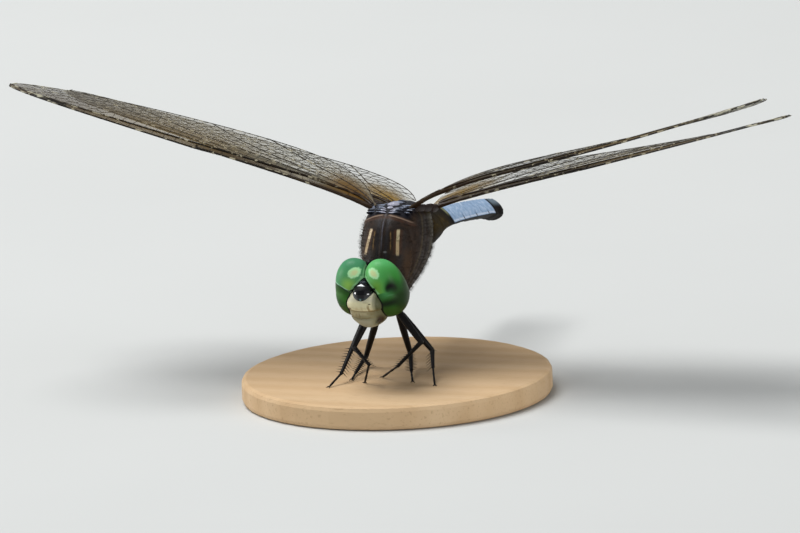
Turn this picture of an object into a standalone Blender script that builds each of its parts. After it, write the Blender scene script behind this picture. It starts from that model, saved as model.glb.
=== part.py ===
"""A male blue dasher dragonfly at life size, standing with spread wings on a round wooden base.

The insect is modelled in its own frame, in millimetres: the origin lies on its back between the
fore wings, it faces -Y, and Z is up. An empty, the stance, then tips its head up and sets its
feet on the base. The base's underside is centred on the world's origin.
"""
import math

import bmesh
import bpy
import numpy as np
from mathutils import Matrix, Vector

MM = 0.001

# Driving dimensions, in millimetres and degrees
CLEARANCE = 0.03              # between neighbouring pieces
BASE_RADIUS = 13.0
BASE_THICKNESS = 2.0
BASE_BEVEL = 0.4
BODY_HEIGHT = 13.9            # from the top of the base to the origin of the insect
BODY_BACK = 1.5               # origin of the insect behind the middle of the base
NOSE_UP = 8.0
HEAD_CENTRE = (0.0, -5.8, -6.4)
HEAD_TURN = -3.5              # towards the insect's own right
WING_THICKNESS = 0.5
FORE_WING_LENGTH = 30.8       # root to tip
HIND_WING_LENGTH = 29.5
FORE_WING_CHORD = 7.3
HIND_WING_CHORD = 9.7
FACE_SQUARENESS = 0.72        # under 1 makes the upper face boxier than an ellipsoid
LEG_RADIUS = {"femur": 0.31, "tibia": 0.25, "tarsus": 0.25}
FOOT_HEIGHT = 0.2             # centre line of a foot above the base

# Each eye is an egg. Its upper half leans, and flattens behind, the more the higher up
EYE_CENTRE = (1.3, 0.02, -0.36)
EYE_WIDTH, EYE_DEPTH = 1.8, 2.05
EYE_UP, EYE_DOWN = 2.9, 2.03
EYE_SQUARENESS = 0.925
EYE_LEAN_IN = 0.04            # towards the other eye, for each millimetre up
EYE_LEAN_FORWARD = 0.4
EYE_FLATTENING = 0.22
EYE_BACK = 1.0                # where the eyes end flat against the back of the head

# Thorax, as level slices from the wing bases down: height, front, back, half width
THORAX_SLICES = (
    (0.15, -0.7, 3.5, 0.7),
    (-0.1, -1.5, 4.2, 1.55),
    (-0.6, -2.4, 4.7, 2.25),
    (-1.5, -3.2, 5.1, 2.6),
    (-2.5, -3.5, 4.9, 2.75),
    (-4.0, -3.75, 4.4, 2.7),
    (-5.5, -3.8, 3.3, 2.2),
    (-7.0, -3.7, 1.8, 1.4),
    (-7.8, -3.3, 0.6, 0.9),
)
THORAX_SQUARENESS = 2.3       # exponent of a slice's superellipse

# Abdomen, as upright sections: distance back, half width, ridge, side edge, belly, roundness
ABDOMEN_SECTIONS = (
    (4.3, 1.15, -1.35, -2.7, -3.9, 0.9),
    (5.6, 1.60, -1.05, -2.7, -4.3, 0.9),
    (7.4, 1.68, -1.00, -2.75, -4.2, 0.8),
    (9.2, 1.50, -1.05, -2.65, -3.6, 0.6),
    (11.0, 1.36, -1.08, -2.55, -3.2, 0.45),
    (14.1, 1.22, -1.12, -2.5, -3.0, 0.35),
    (20.4, 1.17, -1.28, -2.55, -3.05, 0.35),
    (23.5, 1.12, -1.42, -2.65, -3.2, 0.4),
    (25.2, 1.00, -1.60, -2.8, -3.3, 0.6),
    (26.3, 0.80, -1.80, -2.8, -3.2, 0.8),
    (26.9, 0.55, -2.00, -2.75, -3.05, 0.9),
)
SEGMENT_ENDS = (4.3, 5.6, 7.8, 11.0, 14.1, 17.3, 20.4, 23.5, 25.2, 26.3, 26.9)

# Each wing: side (+1 is the insect's left), root, sweep, dihedral slope, quick rise by the root,
# sag halfway out, degrees by which the hind edge is raised by the root, and how far out that lasts
WINGS = {
    "fore_wing_left": (1, (2.25, -0.5, 0.27), -0.15, 0.28, 1.05, 0.42, 9.5, 0.8),
    "fore_wing_right": (-1, (2.1, -0.5, -0.19), -0.175, 0.301, 0.49, 0.0, 13.5, 1.5),
    "hind_wing_left": (1, (2.5, 3.8, -0.38), 0.045, 0.265, 0.3, 0.1, 6.5, 2.5),
    "hind_wing_right": (-1, (2.5, 3.8, -0.38), 0.045, 0.28, 0.3, 0.0, 4.5, 0.6),
}

# Each leg's joints: root inside the thorax, hip, knee, ankle, and the foot's place seen from above
LEGS = {
    "front_leg_left": (
        (1.0, -3.7, -6.2), (1.5, -4.1, -8.3), (3.65, -4.1, -11.0), (1.54, -3.8, -13.07), (-0.39, -1.99)),
    "front_leg_right": (
        (-0.8, -3.7, -6.2), (-0.65, -4.1, -8.4), (-2.0, -4.8, -11.5), (-0.41, -5.6, -12.85), (-1.3, -3.98)),
    "middle_leg_left": (
        (0.8, -2.2, -6.6), (1.05, -2.6, -8.45), (3.8, -1.6, -11.9), (4.2, -2.6, -13.2), (4.8, -3.97)),
    "middle_leg_right": (
        (-0.9, -2.2, -6.6), (-1.28, -2.6, -8.5), (-2.9, -2.4, -11.7), (-3.25, -4.4, -13.8), (-3.78, -5.78)),
    "hind_leg_left": (
        (0.6, -0.9, -6.6), (0.55, -1.0, -8.6), (0.9, 1.4, -12.55), (1.9, -1.4, -13.7), (2.58, -3.12)),
    "hind_leg_right": (
        (-0.8, -0.9, -6.6), (-1.0, -1.0, -8.65), (-3.0, 1.4, -12.85), (-2.95, -1.5, -14.0), (-2.71, -3.18)),
}


def clear_scene():
    for old in list(bpy.data.objects):
        bpy.data.objects.remove(old)


def new_collection(name):
    collection = bpy.data.collections.new(name)
    bpy.context.scene.collection.children.link(collection)
    return collection


clear_scene()
DRAGONFLY = new_collection("dragonfly")
CUTTERS = new_collection("cutters")


# ---------------------------------------------------------------- materials
def material(name, colour, roughness, metallic=0.0):
    made = bpy.data.materials.new(name)
    made.use_nodes = True
    shader = made.node_tree.nodes["Principled BSDF"]
    shader.inputs["Base Color"].default_value = (*colour, 1.0)
    shader.inputs["Roughness"].default_value = roughness
    shader.inputs["Metallic"].default_value = metallic
    made.diffuse_color = (*colour, 1.0)
    return made


EYE_GREEN = material("eye_green", (0.02, 0.32, 0.22), 0.15, 0.3)
FACE_CREAM = material("face_cream", (0.80, 0.80, 0.70), 0.45)
FRONS_BLACK = material("frons_black", (0.03, 0.05, 0.10), 0.15, 0.2)
SHELL_BROWN = material("shell_brown", (0.06, 0.035, 0.02), 0.45)
BLOOM_BLUE = material("bloom_blue", (0.35, 0.50, 0.68), 0.7)
TAIL_BLACK = material("tail_black", (0.02, 0.02, 0.025), 0.4)
LEG_BLACK = material("leg_black", (0.015, 0.013, 0.012), 0.3)
WING_CLEAR = material("wing_clear", (0.62, 0.56, 0.42), 0.2)
BASE_WOOD = material("base_wood", (0.62, 0.45, 0.28), 0.5)


# ---------------------------------------------------------------- frames
def empty(name, location, rotation, parent=None):
    made = bpy.data.objects.new(name, None)
    made.location = Vector(location) * MM
    made.rotation_euler = [math.radians(angle) for angle in rotation]
    made.parent = parent
    DRAGONFLY.objects.link(made)
    return made


STANCE = empty("stance", (0, BODY_BACK, BASE_THICKNESS + BODY_HEIGHT), (-NOSE_UP, 0, 0))
HEAD = empty("head", HEAD_CENTRE, (0, 0, HEAD_TURN), STANCE)


# ---------------------------------------------------------------- shapes
def place(name, mesh, finish, parent):
    mesh.materials.append(finish)
    mesh.shade_smooth()
    made = bpy.data.objects.new(name, mesh)
    made.parent = parent
    DRAGONFLY.objects.link(made)
    return made


def mesh_from(shape, name):
    """Closes a bmesh, in millimetres, into a mesh in metres with its faces pointing out."""
    bmesh.ops.recalc_face_normals(shape, faces=shape.faces)
    bmesh.ops.scale(shape, vec=(MM, MM, MM), verts=shape.verts)
    mesh = bpy.data.meshes.new(name)
    shape.to_mesh(mesh)
    shape.free()
    return mesh


def loft(name, rings, finish, parent=STANCE):
    """A closed skin through rings of equally many points, with flat ends."""
    shape = bmesh.new()
    loops = [[shape.verts.new(point) for point in ring] for ring in rings]
    for near, far in zip(loops, loops[1:]):
        for i in range(len(near)):
            j = (i + 1) % len(near)
            shape.faces.new((near[i], near[j], far[j], far[i]))
    shape.faces.new(loops[0])
    shape.faces.new(loops[-1])
    return place(name, mesh_from(shape, name), finish, parent)


def ellipsoid(name, centre, radii, finish, parent=HEAD, segments=20, rings=12, squareness=1.0):
    shape = bmesh.new()
    bmesh.ops.create_uvsphere(shape, u_segments=segments, v_segments=rings, radius=1.0)
    for vertex in shape.verts:
        vertex.co = [math.copysign(abs(value) ** squareness, value) for value in vertex.co]
    bmesh.ops.transform(shape, matrix=Matrix.Translation(centre) @ Matrix.Diagonal((*radii, 1.0)),
                        verts=shape.verts)
    return place(name, mesh_from(shape, name), finish, parent)


def tube(name, points, radii, finish, parent=STANCE):
    """A tapering rod along a few points, made as a curve and turned into a closed mesh."""
    curve = bpy.data.curves.new(name, "CURVE")
    curve.dimensions = "3D"
    curve.bevel_depth = MM
    curve.bevel_resolution = 2
    curve.use_fill_caps = True
    spline = curve.splines.new("POLY")
    spline.points.add(len(points) - 1)
    for knot, point, radius in zip(spline.points, points, radii):
        knot.co = (*(Vector(point) * MM), 1.0)
        knot.radius = radius
    guide = bpy.data.objects.new(name + "_guide", curve)
    DRAGONFLY.objects.link(guide)
    bpy.context.view_layer.update()
    mesh = bpy.data.meshes.new_from_object(guide.evaluated_get(bpy.context.evaluated_depsgraph_get()))
    bpy.data.objects.remove(guide)
    shape = bmesh.new()
    shape.from_mesh(mesh)
    bmesh.ops.remove_doubles(shape, verts=shape.verts, dist=1e-7)
    bmesh.ops.recalc_face_normals(shape, faces=shape.faces)
    shape.to_mesh(mesh)
    shape.free()
    return place(name, mesh, finish, parent)


# ---------------------------------------------------------------- cuts
def hide_cutter(cutter):
    cutter.hide_render = True
    cutter.display_type = "WIRE"
    CUTTERS.objects.link(cutter)


def swollen(piece):
    """A copy of a piece, larger by the clearance all round, for cutting its neighbours."""
    mesh = piece.data.copy()
    for vertex, normal in zip(mesh.vertices, [item.vector.copy() for item in mesh.vertex_normals]):
        vertex.co += normal * (CLEARANCE * MM)
    cutter = bpy.data.objects.new(piece.name + "_cutter", mesh)
    cutter.parent = piece.parent
    hide_cutter(cutter)
    return cutter


def block(name, low, high, parent):
    """A box between two corners, for cutting."""
    shape = bmesh.new()
    bmesh.ops.create_cube(shape, size=1.0)
    low, high = Vector(low), Vector(high)
    bmesh.ops.transform(shape, matrix=Matrix.Translation((low + high) / 2) @
                        Matrix.Diagonal((*(high - low), 1.0)), verts=shape.verts)
    cutter = bpy.data.objects.new(name, mesh_from(shape, name))
    cutter.parent = parent
    hide_cutter(cutter)
    return cutter


def cut(piece, *cutters):
    for cutter in cutters:
        difference = piece.modifiers.new("clear_of_" + cutter.name, "BOOLEAN")
        difference.operation = "DIFFERENCE"
        difference.solver = "EXACT"
        difference.object = cutter


# ---------------------------------------------------------------- head
def build_eye(side, name):
    """One egg, flat where it meets the other eye and the back of the head."""
    shape = bmesh.new()
    bmesh.ops.create_uvsphere(shape, u_segments=19, v_segments=12, radius=1.0)
    for vertex in shape.verts:
        across, back, up = (math.copysign(abs(value) ** EYE_SQUARENESS, value) for value in vertex.co)
        up *= EYE_UP if up > 0 else EYE_DOWN
        high = max(up, 0.0)
        out = EYE_CENTRE[0] - EYE_LEAN_IN * high + EYE_WIDTH * across * side
        back *= EYE_DEPTH * (1 - EYE_FLATTENING * high if back > 0 else 1)
        back += EYE_CENTRE[1] - EYE_LEAN_FORWARD * high
        vertex.co = (side * max(out, CLEARANCE / 2), min(back, EYE_BACK), EYE_CENTRE[2] + up)
    return place("eye_" + name, mesh_from(shape, name), EYE_GREEN, HEAD)


def build_head():
    frons = ellipsoid("frons", (0, -2.0, -0.35), (0.94, 0.97, 0.88), FRONS_BLACK)
    vertex = ellipsoid("vertex", (0, -1.98, 0.5), (0.45, 0.45, 0.4), FRONS_BLACK,
                       segments=12, rings=8)
    clypeus = ellipsoid("clypeus", (0, -1.5, -0.92), (1.6, 1.3, 1.0), FACE_CREAM,
                        segments=18, rings=10, squareness=FACE_SQUARENESS)
    labrum = ellipsoid("labrum", (0, -0.85, -2.05), (1.5, 1.4, 1.07), FACE_CREAM,
                       segments=16, rings=10)
    labium = ellipsoid("labium", (0, -0.15, -2.2), (1.3, 1.15, 0.8), FACE_CREAM,
                       segments=16, rings=10)
    frons_space, vertex_space, clypeus_space, labrum_space, labium_space = (
        swollen(piece) for piece in (frons, vertex, clypeus, labrum, labium))
    behind = block("behind_the_eyes", (-5, EYE_BACK, -5), (5, 5, 5), HEAD)
    cut(vertex, frons_space)
    cut(clypeus, frons_space)
    cut(labrum, clypeus_space)
    cut(labium, clypeus_space, labrum_space, behind)
    occiput = ellipsoid("occiput", (0, 0.75, 0.1), (1.8, 0.85, 1.9), SHELL_BROWN,
                        segments=16, rings=10)
    cut(occiput, labium_space)
    for side, name, droop in ((1, "left", -0.1), (-1, "right", 0.85)):
        eye = build_eye(side, name)
        eye_space = swollen(eye)
        cut(eye, frons_space, vertex_space, clypeus_space, labrum_space, labium_space)
        antenna = tube("antenna_" + name, [(0.8 * side, -1.9, 0.15), (1.2 * side, -2.5, droop / 3),
                                           (1.75 * side, -3.3, droop)], (0.28, 0.27, 0.25),
                       LEG_BLACK, HEAD)
        cut(antenna, frons_space, vertex_space, clypeus_space, eye_space)
        cut(occiput, eye_space)
    return occiput


def turn(count):
    """Angles of a full turn, evenly spaced."""
    return [2 * math.pi * i / count for i in range(count)]


# ---------------------------------------------------------------- thorax
def superellipse(angle, squareness):
    c, s = math.cos(angle), math.sin(angle)
    return (math.copysign(abs(c) ** (2 / squareness), c), math.copysign(abs(s) ** (2 / squareness), s))


def thorax_ring(height, front, back, half_width):
    ring = []
    for angle in turn(24):
        across, along = superellipse(angle, THORAX_SQUARENESS)
        ring.append((half_width * across, (front + back) / 2 + (back - front) / 2 * along, height))
    return ring


def build_thorax(occiput):
    thorax = loft("thorax", [thorax_ring(*cut_level) for cut_level in THORAX_SLICES], SHELL_BROWN)
    prothorax = ellipsoid("prothorax", (0, -3.8, -6.3), (1.35, 0.85, 1.25), SHELL_BROWN, STANCE,
                          segments=16, rings=10)
    thorax_space = swollen(thorax)
    cut(prothorax, thorax_space, swollen(occiput))
    return thorax_space, swollen(prothorax)


# ---------------------------------------------------------------- abdomen
def abdomen_section(back):
    """Roof-shaped section: two slopes from the ridge to the side edges, and a shallow belly."""
    stations = np.array(ABDOMEN_SECTIONS)
    width, ridge, edge, belly, roundness = (
        float(np.interp(back, stations[:, 0], stations[:, k])) for k in range(1, 6))
    half = []
    for top, bottom, steps in ((ridge, edge, 4), (belly, edge, 3)):
        arc = []
        for i in range(steps):
            share = i / steps
            angle = share * math.pi / 2
            across = roundness * math.sin(angle) + (1 - roundness) * share
            height = roundness * math.cos(angle) + (1 - roundness) * (1 - share)
            arc.append((width * across, bottom + (top - bottom) * height))
        half.append(arc)
    upper, lower = half
    outline = upper + [(width, edge)] + lower[::-1]
    mirrored = [(-x, z) for x, z in outline[-2:0:-1]]
    return [(x, back, z) for x, z in outline + mirrored]


def build_abdomen(thorax_space):
    for number, (start, end) in enumerate(zip(SEGMENT_ENDS, SEGMENT_ENDS[1:]), start=1):
        end -= CLEARANCE
        steps = 3 if end - start > 1.2 else 2
        rings = [abdomen_section(start + (end - start) * i / steps) for i in range(steps + 1)]
        segment = loft(f"abdomen_segment_{number:02d}", rings,
                       BLOOM_BLUE if number < 8 else TAIL_BLACK)
        if number <= 2:
            cut(segment, thorax_space)
    for side, name in ((1, "left"), (-1, "right")):
        tube("cercus_" + name, [(0.32 * side, 26.95, -2.3), (0.36 * side, 27.5, -2.45),
                                (0.32 * side, 28.0, -2.65)], (0.25, 0.25, 0.2), TAIL_BLACK)
    tube("epiproct", [(0, 26.95, -2.82), (0, 27.7, -3.0)], (0.25, 0.22), TAIL_BLACK)


# ---------------------------------------------------------------- wings
def fore_chord(share):
    """Width of the fore wing, front to back, at a share of its length."""
    swell = 0.9 + 0.1 * math.sin(math.pi * min(share / 0.62, 1) / 2)
    return FORE_WING_CHORD * swell * (1 - 0.8 * math.exp(-share / 0.085)) * tip_rounding(share)


def hind_chord(share):
    """Width of the hind wing: a broad lobe by the body, narrowing to the tip."""
    narrowing = 1 - 0.42 * max(0.0, (share - 0.22) / 0.78) ** 1.15
    return HIND_WING_CHORD * narrowing * (1 - 0.5 * math.exp(-share / 0.06)) * tip_rounding(share)


def tip_rounding(share):
    return math.sqrt(max(0.0, 1 - share ** 9))


def wing_point(wing, share, across):
    """A point of the wing's middle surface: share of its length, and across from front to back."""
    side, root, sweep, slope, rise, sag, twist, lasting = WINGS[wing]
    hind = wing.startswith("hind")
    length = HIND_WING_LENGTH if hind else FORE_WING_LENGTH
    chord = (hind_chord if hind else fore_chord)(max(share, 0.0))
    widest = HIND_WING_CHORD if hind else FORE_WING_CHORD
    inner = -1.2 * across if hind else 0.0
    out = inner + (length - inner) * share * (1 - 0.9 * across if share < 0 else 1)
    lift = math.radians(twist) * (1 - max(share, 0.0) ** lasting) * chord * across
    lift -= 4 * sag * share * (1 - share)
    front = 0.32 * widest * (1 - tip_rounding(share))
    return (side * (root[0] + out), root[1] + sweep * out + front + chord * across,
            root[2] + slope * out + rise * (1 - math.exp(-out / 3)) + lift)


def build_wing(wing, thorax_space):
    spans = [-0.04, 0.0, 0.03] + [0.07 + 0.83 * i / 12 for i in range(13)] + [0.94, 0.97, 0.99, 0.998]
    chords = [i / 5 for i in range(6)]
    shape = bmesh.new()
    grid = [[shape.verts.new(wing_point(wing, share, across)) for across in chords] for share in spans]
    for near, far in zip(grid, grid[1:]):
        for i in range(len(chords) - 1):
            shape.faces.new((near[i], near[i + 1], far[i + 1], far[i]))
    piece = place(wing, mesh_from(shape, wing), WING_CLEAR, STANCE)
    plate = piece.modifiers.new("membrane", "SOLIDIFY")
    plate.thickness = WING_THICKNESS * MM
    plate.offset = 0.0
    cut(piece, thorax_space)


# ---------------------------------------------------------------- legs
def limb(name, part, *joints):
    """One length of a leg, a rod through its joints with tapered ends."""
    joints = [Vector(joint) for joint in joints]
    radius = LEG_RADIUS[part]
    first = (joints[1] - joints[0]).normalized() * 0.25
    last = (joints[-1] - joints[-2]).normalized() * 0.25
    points = [joints[0], joints[0] + first, *joints[1:-1], joints[-1] - last, joints[-1]]
    radii = [0.7 * radius] + [radius] * (len(points) - 2) + [0.65 * radius]
    return tube(name, points, radii, LEG_BLACK)


def foot_height(y):
    """Height, in the insect's own frame, of a point that lies just above the base."""
    tilt = math.radians(NOSE_UP)
    return (FOOT_HEIGHT - BODY_HEIGHT + y * math.sin(tilt)) / math.cos(tilt)


def build_leg(leg, spaces, ground):
    root, hip, knee, ankle, foot = LEGS[leg]
    foot = (*foot, foot_height(foot[1]))
    femur = limb(leg + "_femur", "femur", root, hip, knee)
    tibia = limb(leg + "_tibia", "tibia", knee, ankle)
    tarsus = limb(leg + "_tarsus", "tarsus", ankle, foot)
    cut(femur, *spaces)
    cut(tibia, swollen(femur))
    cut(tarsus, swollen(tibia), ground)


# ---------------------------------------------------------------- base
def disc(name, radius, bottom, top, collection):
    shape = bmesh.new()
    bmesh.ops.create_cone(shape, cap_ends=True, segments=48, radius1=radius, radius2=radius,
                          depth=top - bottom)
    bmesh.ops.translate(shape, vec=(0, 0, (top + bottom) / 2), verts=shape.verts)
    made = bpy.data.objects.new(name, mesh_from(shape, name))
    collection.objects.link(made)
    return made


def build_base():
    base = disc("stand_base", BASE_RADIUS, 0, BASE_THICKNESS, DRAGONFLY)
    base.data.materials.append(BASE_WOOD)
    rounding = base.modifiers.new("rounded_edge", "BEVEL")
    rounding.width = BASE_BEVEL * MM
    rounding.segments = 2
    rounding.limit_method = "ANGLE"
    ground = disc("ground_cutter", BASE_RADIUS, -2, BASE_THICKNESS + CLEARANCE, CUTTERS)
    ground.hide_render = True
    ground.display_type = "WIRE"
    return ground


GROUND = build_base()
THORAX_SPACE, PROTHORAX_SPACE = build_thorax(build_head())
build_abdomen(THORAX_SPACE)
for wing_name in WINGS:
    build_wing(wing_name, THORAX_SPACE)
for leg_name in LEGS:
    build_leg(leg_name, (THORAX_SPACE, PROTHORAX_SPACE), GROUND)
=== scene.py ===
"""A male blue dasher dragonfly at life size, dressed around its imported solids.

Every piece is modelled in millimetres, in the insect's own frame or in its head's frame. In both -Y
is ahead, +X is the insect's left and Z is up. The insect's origin lies on the back between the fore
wings, and the head's origin between the eyes.
"""

import math

import bmesh
import bpy
import numpy as np
from mathutils import Matrix, Vector


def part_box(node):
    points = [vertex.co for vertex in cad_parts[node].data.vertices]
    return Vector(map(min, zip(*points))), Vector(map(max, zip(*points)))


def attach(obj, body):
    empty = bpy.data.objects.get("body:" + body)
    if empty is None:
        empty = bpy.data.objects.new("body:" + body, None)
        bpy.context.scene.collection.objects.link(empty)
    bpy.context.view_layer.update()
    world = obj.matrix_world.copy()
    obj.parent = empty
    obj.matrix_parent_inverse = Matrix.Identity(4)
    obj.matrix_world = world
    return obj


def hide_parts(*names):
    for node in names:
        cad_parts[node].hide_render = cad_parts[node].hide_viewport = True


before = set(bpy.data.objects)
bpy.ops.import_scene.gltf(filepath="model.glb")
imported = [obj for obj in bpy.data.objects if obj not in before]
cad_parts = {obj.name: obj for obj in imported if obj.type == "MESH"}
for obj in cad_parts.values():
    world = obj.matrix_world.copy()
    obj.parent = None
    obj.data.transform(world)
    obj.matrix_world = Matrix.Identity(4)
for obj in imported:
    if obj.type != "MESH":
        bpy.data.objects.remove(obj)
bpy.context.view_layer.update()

MM = 0.001
BASE_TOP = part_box("stand_base")[1].z / MM
BODY_HEIGHT = 13.9            # from the top of the base to the insect's origin
BODY_BACK = 1.5               # from the middle of the base to the insect's origin
NOSE_UP = 8.0                 # degrees
HEAD_CENTRE = (0.0, -5.8, -6.4)
HEAD_TURN = -3.5              # degrees, towards the insect's right
INSECT = (Matrix.Translation((0, BODY_BACK, BASE_TOP + BODY_HEIGHT))
          @ Matrix.Rotation(math.radians(-NOSE_UP), 4, "X"))
HEAD = INSECT @ Matrix.Translation(HEAD_CENTRE) @ Matrix.Rotation(math.radians(HEAD_TURN), 4, "Z")
SIDES = ((1, "left"), (-1, "right"))


# ---------------------------------------------------------------- node trees
def maths(operation, turned=False):
    """A method of Number that adds a Math node. A turned one puts its own value last."""
    def method(self, *others):
        values = (*others, self) if turned else (self, *others)
        return self.tree.add("ShaderNodeMath", {"operation": operation}, dict(enumerate(values)))
    return method


class Number:
    """A socket of a node tree, so that the tree's maths reads as an expression."""

    def __init__(self, tree, socket):
        self.tree = tree
        self.socket = socket

    __add__ = __radd__ = maths("ADD")
    __mul__ = __rmul__ = maths("MULTIPLY")
    __sub__, __rsub__ = maths("SUBTRACT"), maths("SUBTRACT", turned=True)
    __truediv__ = maths("DIVIDE")
    size, most, least = maths("ABSOLUTE"), maths("MAXIMUM"), maths("MINIMUM")

    def step(self, low, high):
        """0 up to low, 1 from high on, and smooth between; it falls where high is the lower."""
        if low > high:
            return 1 - self.step(high, low)
        return self.tree.add("ShaderNodeMapRange", {"interpolation_type": "SMOOTHSTEP"},
                             {"Value": self, "From Min": low, "From Max": high})

    def near(self, place, width):
        """1 at the place, falling to 0 a width away."""
        return (self - place).size().step(width, 0.0)

    def other(self, name):
        """Another output of the same node."""
        return Number(self.tree, self.socket.node.outputs[name])


class Tree:
    """Adds nodes to a tree: a node's type, its settings, which are set first, and its sockets."""

    def __init__(self, nodes_of):
        self.tree = nodes_of

    def add(self, kind, settings=None, sockets=None, output=0):
        node = self.tree.nodes.new(kind)
        for name, value in (settings or {}).items():
            setattr(node, name, value)
        for name, value in (sockets or {}).items():
            self.feed(node.inputs[name], value)
        return Number(self, node.outputs[output])

    def feed(self, socket, value):
        if isinstance(value, Number):
            self.tree.links.new(value.socket, socket)
        elif socket.type == "RGBA" and len(value) == 3:
            socket.default_value = (*value, 1.0)
        else:
            socket.default_value = value

    def vector(self, operation, *values, output=0):
        return self.add("ShaderNodeVectorMath", {"operation": operation}, dict(enumerate(values)), output)

    def scaled(self, vector, by):
        return self.add("ShaderNodeVectorMath", {"operation": "SCALE"}, {"Vector": vector, "Scale": by})


class Paint(Tree):
    """A material's tree, with what the insect's finishes are mixed from."""

    def place(self, frame_of):
        """The point's place in millimetres of a frame, whole and as its three numbers."""
        turned = self.add("ShaderNodeMapping", {"vector_type": "TEXTURE"}, {
            "Vector": self.add("ShaderNodeTexCoord", output="Object"),
            "Location": frame_of.to_translation() * MM,
            "Rotation": frame_of.to_euler(),
            "Scale": (MM, MM, MM)})
        parts = self.add("ShaderNodeSeparateXYZ", sockets={0: turned})
        return turned, parts, parts.other("Y"), parts.other("Z")

    def mark(self, name):
        """A number that the mesh carries at its points."""
        return self.add("ShaderNodeAttribute", {"attribute_name": name}, output="Fac")

    def mix(self, share, first, second):
        return self.add("ShaderNodeMix", {"data_type": "RGBA"}, {0: share, 6: first, 7: second}, 2)

    def layers(self, ground, *coats):
        """Colours laid over each other: each coat is (share, colour)."""
        for share, colour in coats:
            ground = self.mix(share, ground, colour)
        return ground

    def noise(self, place, scale, detail=3.0):
        return self.add("ShaderNodeTexNoise", sockets={"Vector": place, "Scale": scale, "Detail": detail})

    def cells(self, place, scale):
        return self.add("ShaderNodeTexVoronoi", sockets={"Vector": place, "Scale": scale})

    def spot(self, place, centre, radii):
        """How far a point lies from an ellipsoid's centre, 1 on its surface."""
        offset = self.vector("DIVIDE", self.vector("SUBTRACT", place, centre), radii)
        return self.vector("LENGTH", offset, output="Value")

    def look(self, colour, roughness, relief=None, depth=0.0):
        """What varies over a finish. Its relief's depth is in millimetres."""
        varied = {"Base Color": colour, "Roughness": roughness}
        if relief is not None:
            varied["Normal"] = self.add("ShaderNodeBump", sockets={
                "Height": relief, "Distance": depth * MM, "Strength": 1.0})
        return varied


def finish(name, brush, gloss, frame_of=INSECT):
    """A material, painted in a frame. The brush returns what varies over it; gloss doesn't vary."""
    material = bpy.data.materials.new(name)
    material.use_nodes = True
    shader = material.node_tree.nodes["Principled BSDF"]
    shader.inputs["Specular IOR Level"].default_value = gloss
    paint = Paint(material.node_tree)
    for socket, value in brush(paint, *paint.place(frame_of)).items():
        paint.feed(shader.inputs[socket], value)
    return material


# ---------------------------------------------------------------- shapes
def along(table, at):
    """Smooth values between a table's rows, whose first column is the place of the others."""
    table = np.array(table, float)
    places, values = table[:, 0], table[:, 1:]
    slopes = np.gradient(values, places, axis=0)
    at = np.clip(np.atleast_1d(np.array(at, float)), places[0], places[-1])
    k = np.clip(np.searchsorted(places, at, side="right") - 1, 0, len(places) - 2)
    gap = (places[k + 1] - places[k])[:, None]
    t = (at - places[k])[:, None] / gap
    return ((2 * t ** 3 - 3 * t ** 2 + 1) * values[k] + (t ** 3 - 2 * t ** 2 + t) * gap * slopes[k]
            + (3 * t ** 2 - 2 * t ** 3) * values[k + 1] + (t ** 3 - t ** 2) * gap * slopes[k + 1])


def ridge(distance, width):
    return np.exp(-(distance / width) ** 2)


def full_turn(count):
    return np.linspace(0, 2 * math.pi, count, endpoint=False)


def squared(values, power):
    """Signed powers, which make a round outline squarer where the power is below 1."""
    return np.sign(values) * np.abs(values) ** power


def loft(rings):
    """A closed skin through rings of points, with a pole in the middle of each end."""
    rings = np.array(rings, float)
    rows, around = rings.shape[:2]
    points = np.vstack([rings.reshape(-1, 3), rings[0].mean(0), rings[-1].mean(0)])
    faces = []
    for row in range(rows - 1):
        near, far = row * around, (row + 1) * around
        faces += [(near + i, near + (i + 1) % around, far + (i + 1) % around, far + i)
                  for i in range(around)]
    first, last, end = rows * around, rows * around + 1, (rows - 1) * around
    faces += [(first, (i + 1) % around, i) for i in range(around)]
    faces += [(last, end + i, end + (i + 1) % around) for i in range(around)]
    return points, faces


def joined(*parts):
    points, faces, count = [], [], 0
    for part_points, part_faces in parts:
        points.append(part_points)
        faces += [tuple(corner + count for corner in face) for face in part_faces]
        count += len(part_points)
    return np.vstack(points), faces


def pushed(rings, push):
    """Moves a loft's points outwards by what `push` says for their places."""
    rings = np.array(rings, float)
    around = np.roll(rings, -1, axis=1) - np.roll(rings, 1, axis=1)
    outward = np.cross(around, np.gradient(rings, axis=0))
    outward /= np.linalg.norm(outward, axis=2, keepdims=True) + 1e-12
    middle = rings.mean(axis=1, keepdims=True)
    if ((rings - middle) * outward).sum() < 0:
        outward = -outward
    return rings + outward * push(rings[..., 0], rings[..., 1], rings[..., 2])[..., None]


def ball(centre, radii, rows, around, axis="Z", squareness=1.0):
    """Rings of a rounded form, with its poles on an axis."""
    tilt = np.linspace(0, math.pi, rows + 2)[1:-1, None]
    turn = full_turn(around)[None]
    axes = [np.sin(tilt) * np.cos(turn), np.sin(tilt) * np.sin(turn), np.cos(tilt) + 0 * turn]
    order = {"Z": (0, 1, 2), "X": (2, 0, 1), "Y": (1, 2, 0)}[axis]
    unit = squared(np.stack([axes[k] for k in order], axis=-1), squareness)
    return np.array(centre) + unit * np.array(radii)


def skin_gap(points, blobs, softness):
    """How far points lie outside a skin round several rounded forms: (centre, radii, squareness)."""
    gaps = []
    for centre, radii, power in blobs:
        reach = np.linalg.norm((points - np.array(centre)) / np.array(radii), ord=power, axis=-1)
        gaps.append((reach - 1) * min(radii))
    return -softness * np.log(sum(np.exp(-gap / softness) for gap in gaps))


LONGEST_RAY, HALVINGS = 6.0, 30


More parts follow.
